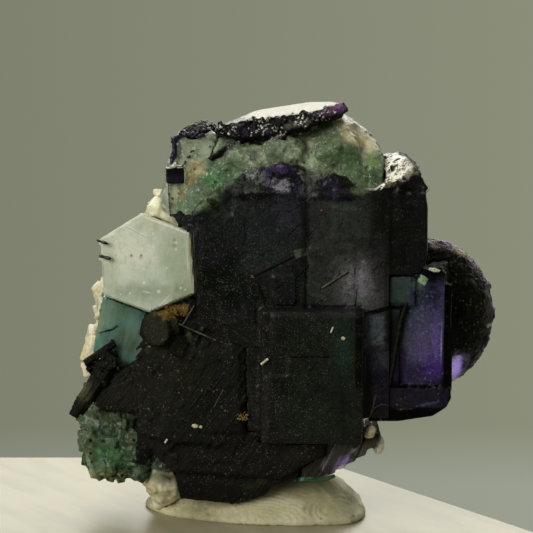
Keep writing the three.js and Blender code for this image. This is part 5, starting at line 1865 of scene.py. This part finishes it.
# A rusty spot's row: a CAD node and a spot of it, the number of crumbs and their spread in millimetres.
RUSTY_SPOTS = [
    (MASS, (0.65, 0.03, 0.475), 60, 0.36),
    (MASS, (0.79, 0.03, 0.49), 16, 0.16),
    (CUBES, (0.255, 0.045, 0.598), 8, 0.1),
    (CUBES, (0.55, 0.07, 0.83), 5, 0.08),
    (MASS, (0.36, 0.06, 1.0), 90, 0.6),
]


class SPECIMEN_OT_loose_things(PieceOperator):
    """Strews needles, dust and bright grains over the dark crystals, each set down on a surface"""

    bl_idname = "specimen.loose_things"
    bl_label = "Needles and dust"

    def make(self, sizes, fluorite, rock):
        draw = random.Random(101)
        dark = bmesh.new()
        for name in ("dark_cubes", "tourmaline_mass_grooved"):
            dark.from_mesh(bpy.data.objects[name].data)
        self.dark_needles(dark, sizes.needle_count, draw)
        self.grey_needles()
        self.dust(dark, sizes.dust_count, draw)
        dark.free()
        self.white_grains(draw)
        self.rusty_crumbs(draw)

    @staticmethod
    def dark_needles(dark, count, draw):
        needles = bmesh.new()
        fine = []
        for point, normal in scattered(dark, count, 102, lambda p, n: n.y < -0.8):
            lean = math.radians(draw.gauss(35, 30))
            along = Vector((math.sin(lean), 0, math.cos(lean)))
            along = (along - normal * along.dot(normal)).normalized() + normal * draw.uniform(-0.02, 0.04)
            reach = along * draw.uniform(0.4, 2.4) * MM
            radius = draw.uniform(0.014, 0.034) * MM
            fine.append((point - reach / 2 + normal * radius, point + reach / 2 + normal * radius, radius, 5))
        add_many(needles, add_rod, fine)
        for node, spots, radius in DARK_RODS:
            add_bent(needles, node, spots, radius)
        black = plain_finish("Dark needles", (17, 17, 12), (8, 8, 6), 0.6, 0.5, shine=0.1)
        finished(needles, "dark_needles", black, sharp=35)

    @staticmethod
    def grey_needles():
        pale_rods = bmesh.new()
        for node, spots, radius in GREY_RODS:
            add_bent(pale_rods, node, spots, radius)
        grey = plain_finish("Grey needles", (84, 86, 70), (40, 40, 32), 0.5, 0.4, shine=0.2)
        finished(pale_rods, "grey_needles", grey, sharp=35)

    @staticmethod
    def dust(dark, count, draw):
        """Lays flat grains on the dark crystals, thicker in some places than in others."""
        dust = bmesh.new()
        grains = []
        for point, normal in scattered(dark, count, 103, lambda p, n: n.y < 0.4):
            if waves(point / MM, 2.4, 3, 8) < draw.gauss(0.12, 0.16):
                continue
            radius = (abs(draw.gauss(0, 0.014)) + 0.011) * MM
            radii = (radius, radius, radius * 0.7)
            grains.append((point + normal * radius * 0.3, radii, flat_turn(normal, draw)))
        add_many(dust, add_grain, grains)
        pale = plain_finish("Pale dust", (118, 114, 92), (60, 58, 46), 0.6, 0.8)
        finished(dust, "dust_grains", pale, sharp=0)

    @staticmethod
    def white_grains(draw):
        """Sets the bright chips and crystals that catch the light."""
        bright = bmesh.new()
        for node, spots, radius in BRIGHT_RODS:
            add_bent(bright, node, spots, radius)
        for node, spot, radii in BRIGHT_GRAINS:
            add_grain(bright, point_at(node, spot), Vector(radii) * MM, any_turn(draw, 20))
        frost = [(0.54, 0.22, 0.885), (0.62, 0.23, 0.905), (0.69, 0.25, 0.935)]
        seam(bright, HEART, frost, 26, 104, (0.08, 0.24), 0.16)
        seam(bright, HEART, [(0.34, 0.04, 0.64), (0.4, 0.06, 0.66)], 9, 105, (0.06, 0.14), 0.14)
        white = plain_finish("White grains", (208, 204, 180), (150, 142, 114), 0.45, 0.3)
        finished(bright, "white_grains", white, sharp=30)

    @staticmethod
    def rusty_crumbs(draw):
        rusty = bmesh.new()
        crumbs = []
        for node, spot, count, spread in RUSTY_SPOTS:
            for _ in range(count):
                across = draw.gauss(0, spread)
                inward = draw.uniform(-0.05, 0.08)
                middle = point_at(node, spot) + Vector((across, inward, draw.gauss(0, spread * 0.55))) * MM
                crumbs.append((middle, draw.uniform(0.05, 0.14) * MM, any_turn(draw)))
        add_many(rusty, add_grain, crumbs)
        rust = plain_finish("Rusty crumbs", (124, 96, 50), (84, 66, 34), 0.6, 0.3)
        finished(rusty, "rusty_crumbs", rust, sharp=0)


# ---------------------------------------------------------------- the stage

# The slab's outline and depth in millimetres.
SLAB_OUTLINE = [(-100, 25.6), (-100, -44), (49, -44), (3.6, 25.6)]
SLAB_DEPTH = 9

# The camera: the point it aims at in millimetres, how far off it is in metres, how steeply it looks down in
# degrees, and its lens and film in millimetres.
CAMERA_AIM = (-2.07, -7.05, 28.83)
CAMERA_DISTANCE = 0.244
CAMERA_ELEVATION = 8
CAMERA_LENS = 150
CAMERA_FILM = 36

# A light's row: its name, its place and its size in metres, its power in watts and its colour.
LIGHTS = [
    ("back_light", (0.1, 0.5, 0.3), (0.6, 0.34), 2.8, (1.0, 0.98, 0.92)),
    ("top_light", (-0.1, -0.02, 0.5), (0.4, 0.4), 0.8, (1.0, 0.98, 0.9)),
    ("front_fill", (-0.35, -0.45, 0.28), (0.4, 0.4), 2.8, (1.0, 0.98, 0.9)),
]


class SPECIMEN_OT_stage(bpy.types.Operator):
    """Sets the pale slab that the specimen stands on, the soft lights, the backdrop and the camera"""

    bl_idname = "specimen.stage"
    bl_label = "Stage"
    bl_options = {"REGISTER", "UNDO"}

    def execute(self, context):
        self.slab()
        self.backdrop(context.scene)
        self.lights(context.scene)
        self.camera(context.scene)
        context.scene.view_settings.view_transform = "Standard"
        return {"FINISHED"}

    @staticmethod
    def slab():
        """Lays the pale slab, whose right-hand edge runs off at a slant."""
        shape = bmesh.new()
        face = shape.faces.new([shape.verts.new((x * MM, y * MM, 0)) for x, y in SLAB_OUTLINE])
        extruded = bmesh.ops.extrude_face_region(shape, geom=[face])["geom"]
        lower = [part for part in extruded if isinstance(part, bmesh.types.BMVert)]
        bmesh.ops.translate(shape, verts=lower, vec=(0, 0, -SLAB_DEPTH * MM))
        bmesh.ops.recalc_face_normals(shape, faces=shape.faces)
        bevelled(shape, 0.5 * MM, 3)
        mesh = bpy.data.meshes.new("floor_slab")
        shape.to_mesh(mesh)
        shape.free()
        finish = Finish("Pale slab")
        streaks = finish.grain((14, 3, 3), detail=4, turn=(0, 0, -58), seed=2)
        colour = finish.mix(streaks.rising(0.35, 0.7), linear(162, 156, 128), linear(149, 145, 119))
        mesh.materials.append(finish.surface(colour, 0.4))
        slab = bpy.data.objects.new("floor_slab", mesh)
        bpy.context.scene.collection.objects.link(slab)

    @staticmethod
    def backdrop(scene):
        """A lit wall behind the specimen: warm grey, blue-grey low down, lighter to the right."""
        world = bpy.data.worlds.new("Studio")
        scene.world = world
        nodes = Nodes(world)

        def spread(value, low, high, least, most):
            """A value's way from low to high, as a number from least to most."""
            ends = {"Value": value, "From Min": low, "From Max": high, "To Min": least, "To Max": most}
            return nodes.node("ShaderNodeMapRange", {}, ends)[0]

        way = nodes.node("ShaderNodeTexCoord")[0]
        x, y, z = nodes.node("ShaderNodeSeparateXYZ", {}, {0: way})
        stops = [(0, linear(148, 152, 138)), (1, linear(133, 136, 116))]
        height = spread(z, -0.234, -0.209, 0, 1)
        colour = nodes.node("ShaderNodeValToRGB", {"stops": stops}, {0: height})[0]
        strength = spread(y, -0.3, 0.7, 0.25, 1) * spread(x, -1, 1, 0.2, 1.8)
        light = nodes.node("ShaderNodeBackground", {}, {"Color": colour, "Strength": strength})[0]
        nodes.node("ShaderNodeOutputWorld", {}, {"Surface": light})

    @staticmethod
    def lights(scene):
        """Hangs the soft lights, each turned to the middle of the specimen."""
        middle = (CAD_BOX[0] + CAD_BOX[1]) / 2
        for name, place, size, power, colour in LIGHTS:
            data = bpy.data.lights.new(name, "AREA")
            data.shape = "RECTANGLE"
            data.size, data.size_y = size
            data.energy = power
            data.color = colour
            lamp = bpy.data.objects.new(name, data)
            lamp.location = place
            lamp.rotation_euler = (middle - Vector(place)).to_track_quat("-Z", "Y").to_euler()
            scene.collection.objects.link(lamp)

    @staticmethod
    def camera(scene):
        """Looks at the front from a little above."""
        data = bpy.data.cameras.new("camera")
        data.lens = CAMERA_LENS
        data.sensor_width = CAMERA_FILM
        data.clip_start = 0.01
        data.clip_end = 20
        camera = bpy.data.objects.new("camera", data)
        elevation = math.radians(CAMERA_ELEVATION)
        looking = Vector((0, math.cos(elevation), -math.sin(elevation)))
        camera.location = Vector(CAMERA_AIM) * MM - looking * CAMERA_DISTANCE
        camera.rotation_euler = looking.to_track_quat("-Z", "Y").to_euler()
        scene.collection.objects.link(camera)
        scene.camera = camera


# ---------------------------------------------------------------- the panel, and running it all

PIECE_OPERATORS = [
    SPECIMEN_OT_putty,
    SPECIMEN_OT_feldspar,
    SPECIMEN_OT_dark_cubes,
    SPECIMEN_OT_green_heart,
    SPECIMEN_OT_clear_crystal,
    SPECIMEN_OT_black_crust,
    SPECIMEN_OT_purple_cubes,
    SPECIMEN_OT_drusy_lobe,
    SPECIMEN_OT_fan,
    SPECIMEN_OT_green_cluster,
    SPECIMEN_OT_aquamarines,
    SPECIMEN_OT_tourmaline,
    SPECIMEN_OT_loose_things,
]


class SPECIMEN_PT_panel(bpy.types.Panel):
    """Lists the specimen's settings and pieces"""

    bl_idname = "SPECIMEN_PT_panel"
    bl_label = "Specimen"
    bl_space_type = "VIEW_3D"
    bl_region_type = "UI"
    bl_category = "Specimen"

    def draw(self, context):
        for name in ("specimen_sizes", "specimen_fluorite", "specimen_rock"):
            group = getattr(context.scene, name)
            box = self.layout.box()
            for setting in group.__annotations__:
                box.prop(group, setting)
        for operator in (*PIECE_OPERATORS, SPECIMEN_OT_stage):
            self.layout.operator(operator.bl_idname)


CLASSES = [
    SpecimenSizes,
    FluoriteColours,
    RockColours,
    *PIECE_OPERATORS,
    SPECIMEN_OT_stage,
    SPECIMEN_PT_panel,
]


def register():
    for item in CLASSES:
        bpy.utils.register_class(item)
    bpy.types.Scene.specimen_sizes = PointerProperty(type=SpecimenSizes)
    bpy.types.Scene.specimen_fluorite = PointerProperty(type=FluoriteColours)
    bpy.types.Scene.specimen_rock = PointerProperty(type=RockColours)


def unregister():
    for name in ("specimen_rock", "specimen_fluorite", "specimen_sizes"):
        delattr(bpy.types.Scene, name)
    for item in reversed(CLASSES):
        bpy.utils.unregister_class(item)


def main():
    register()
    for operator in (*PIECE_OPERATORS, SPECIMEN_OT_stage):
        group, name = operator.bl_idname.split(".")
        getattr(getattr(bpy.ops, group), name)()


if __name__ == "__main__":
    main()
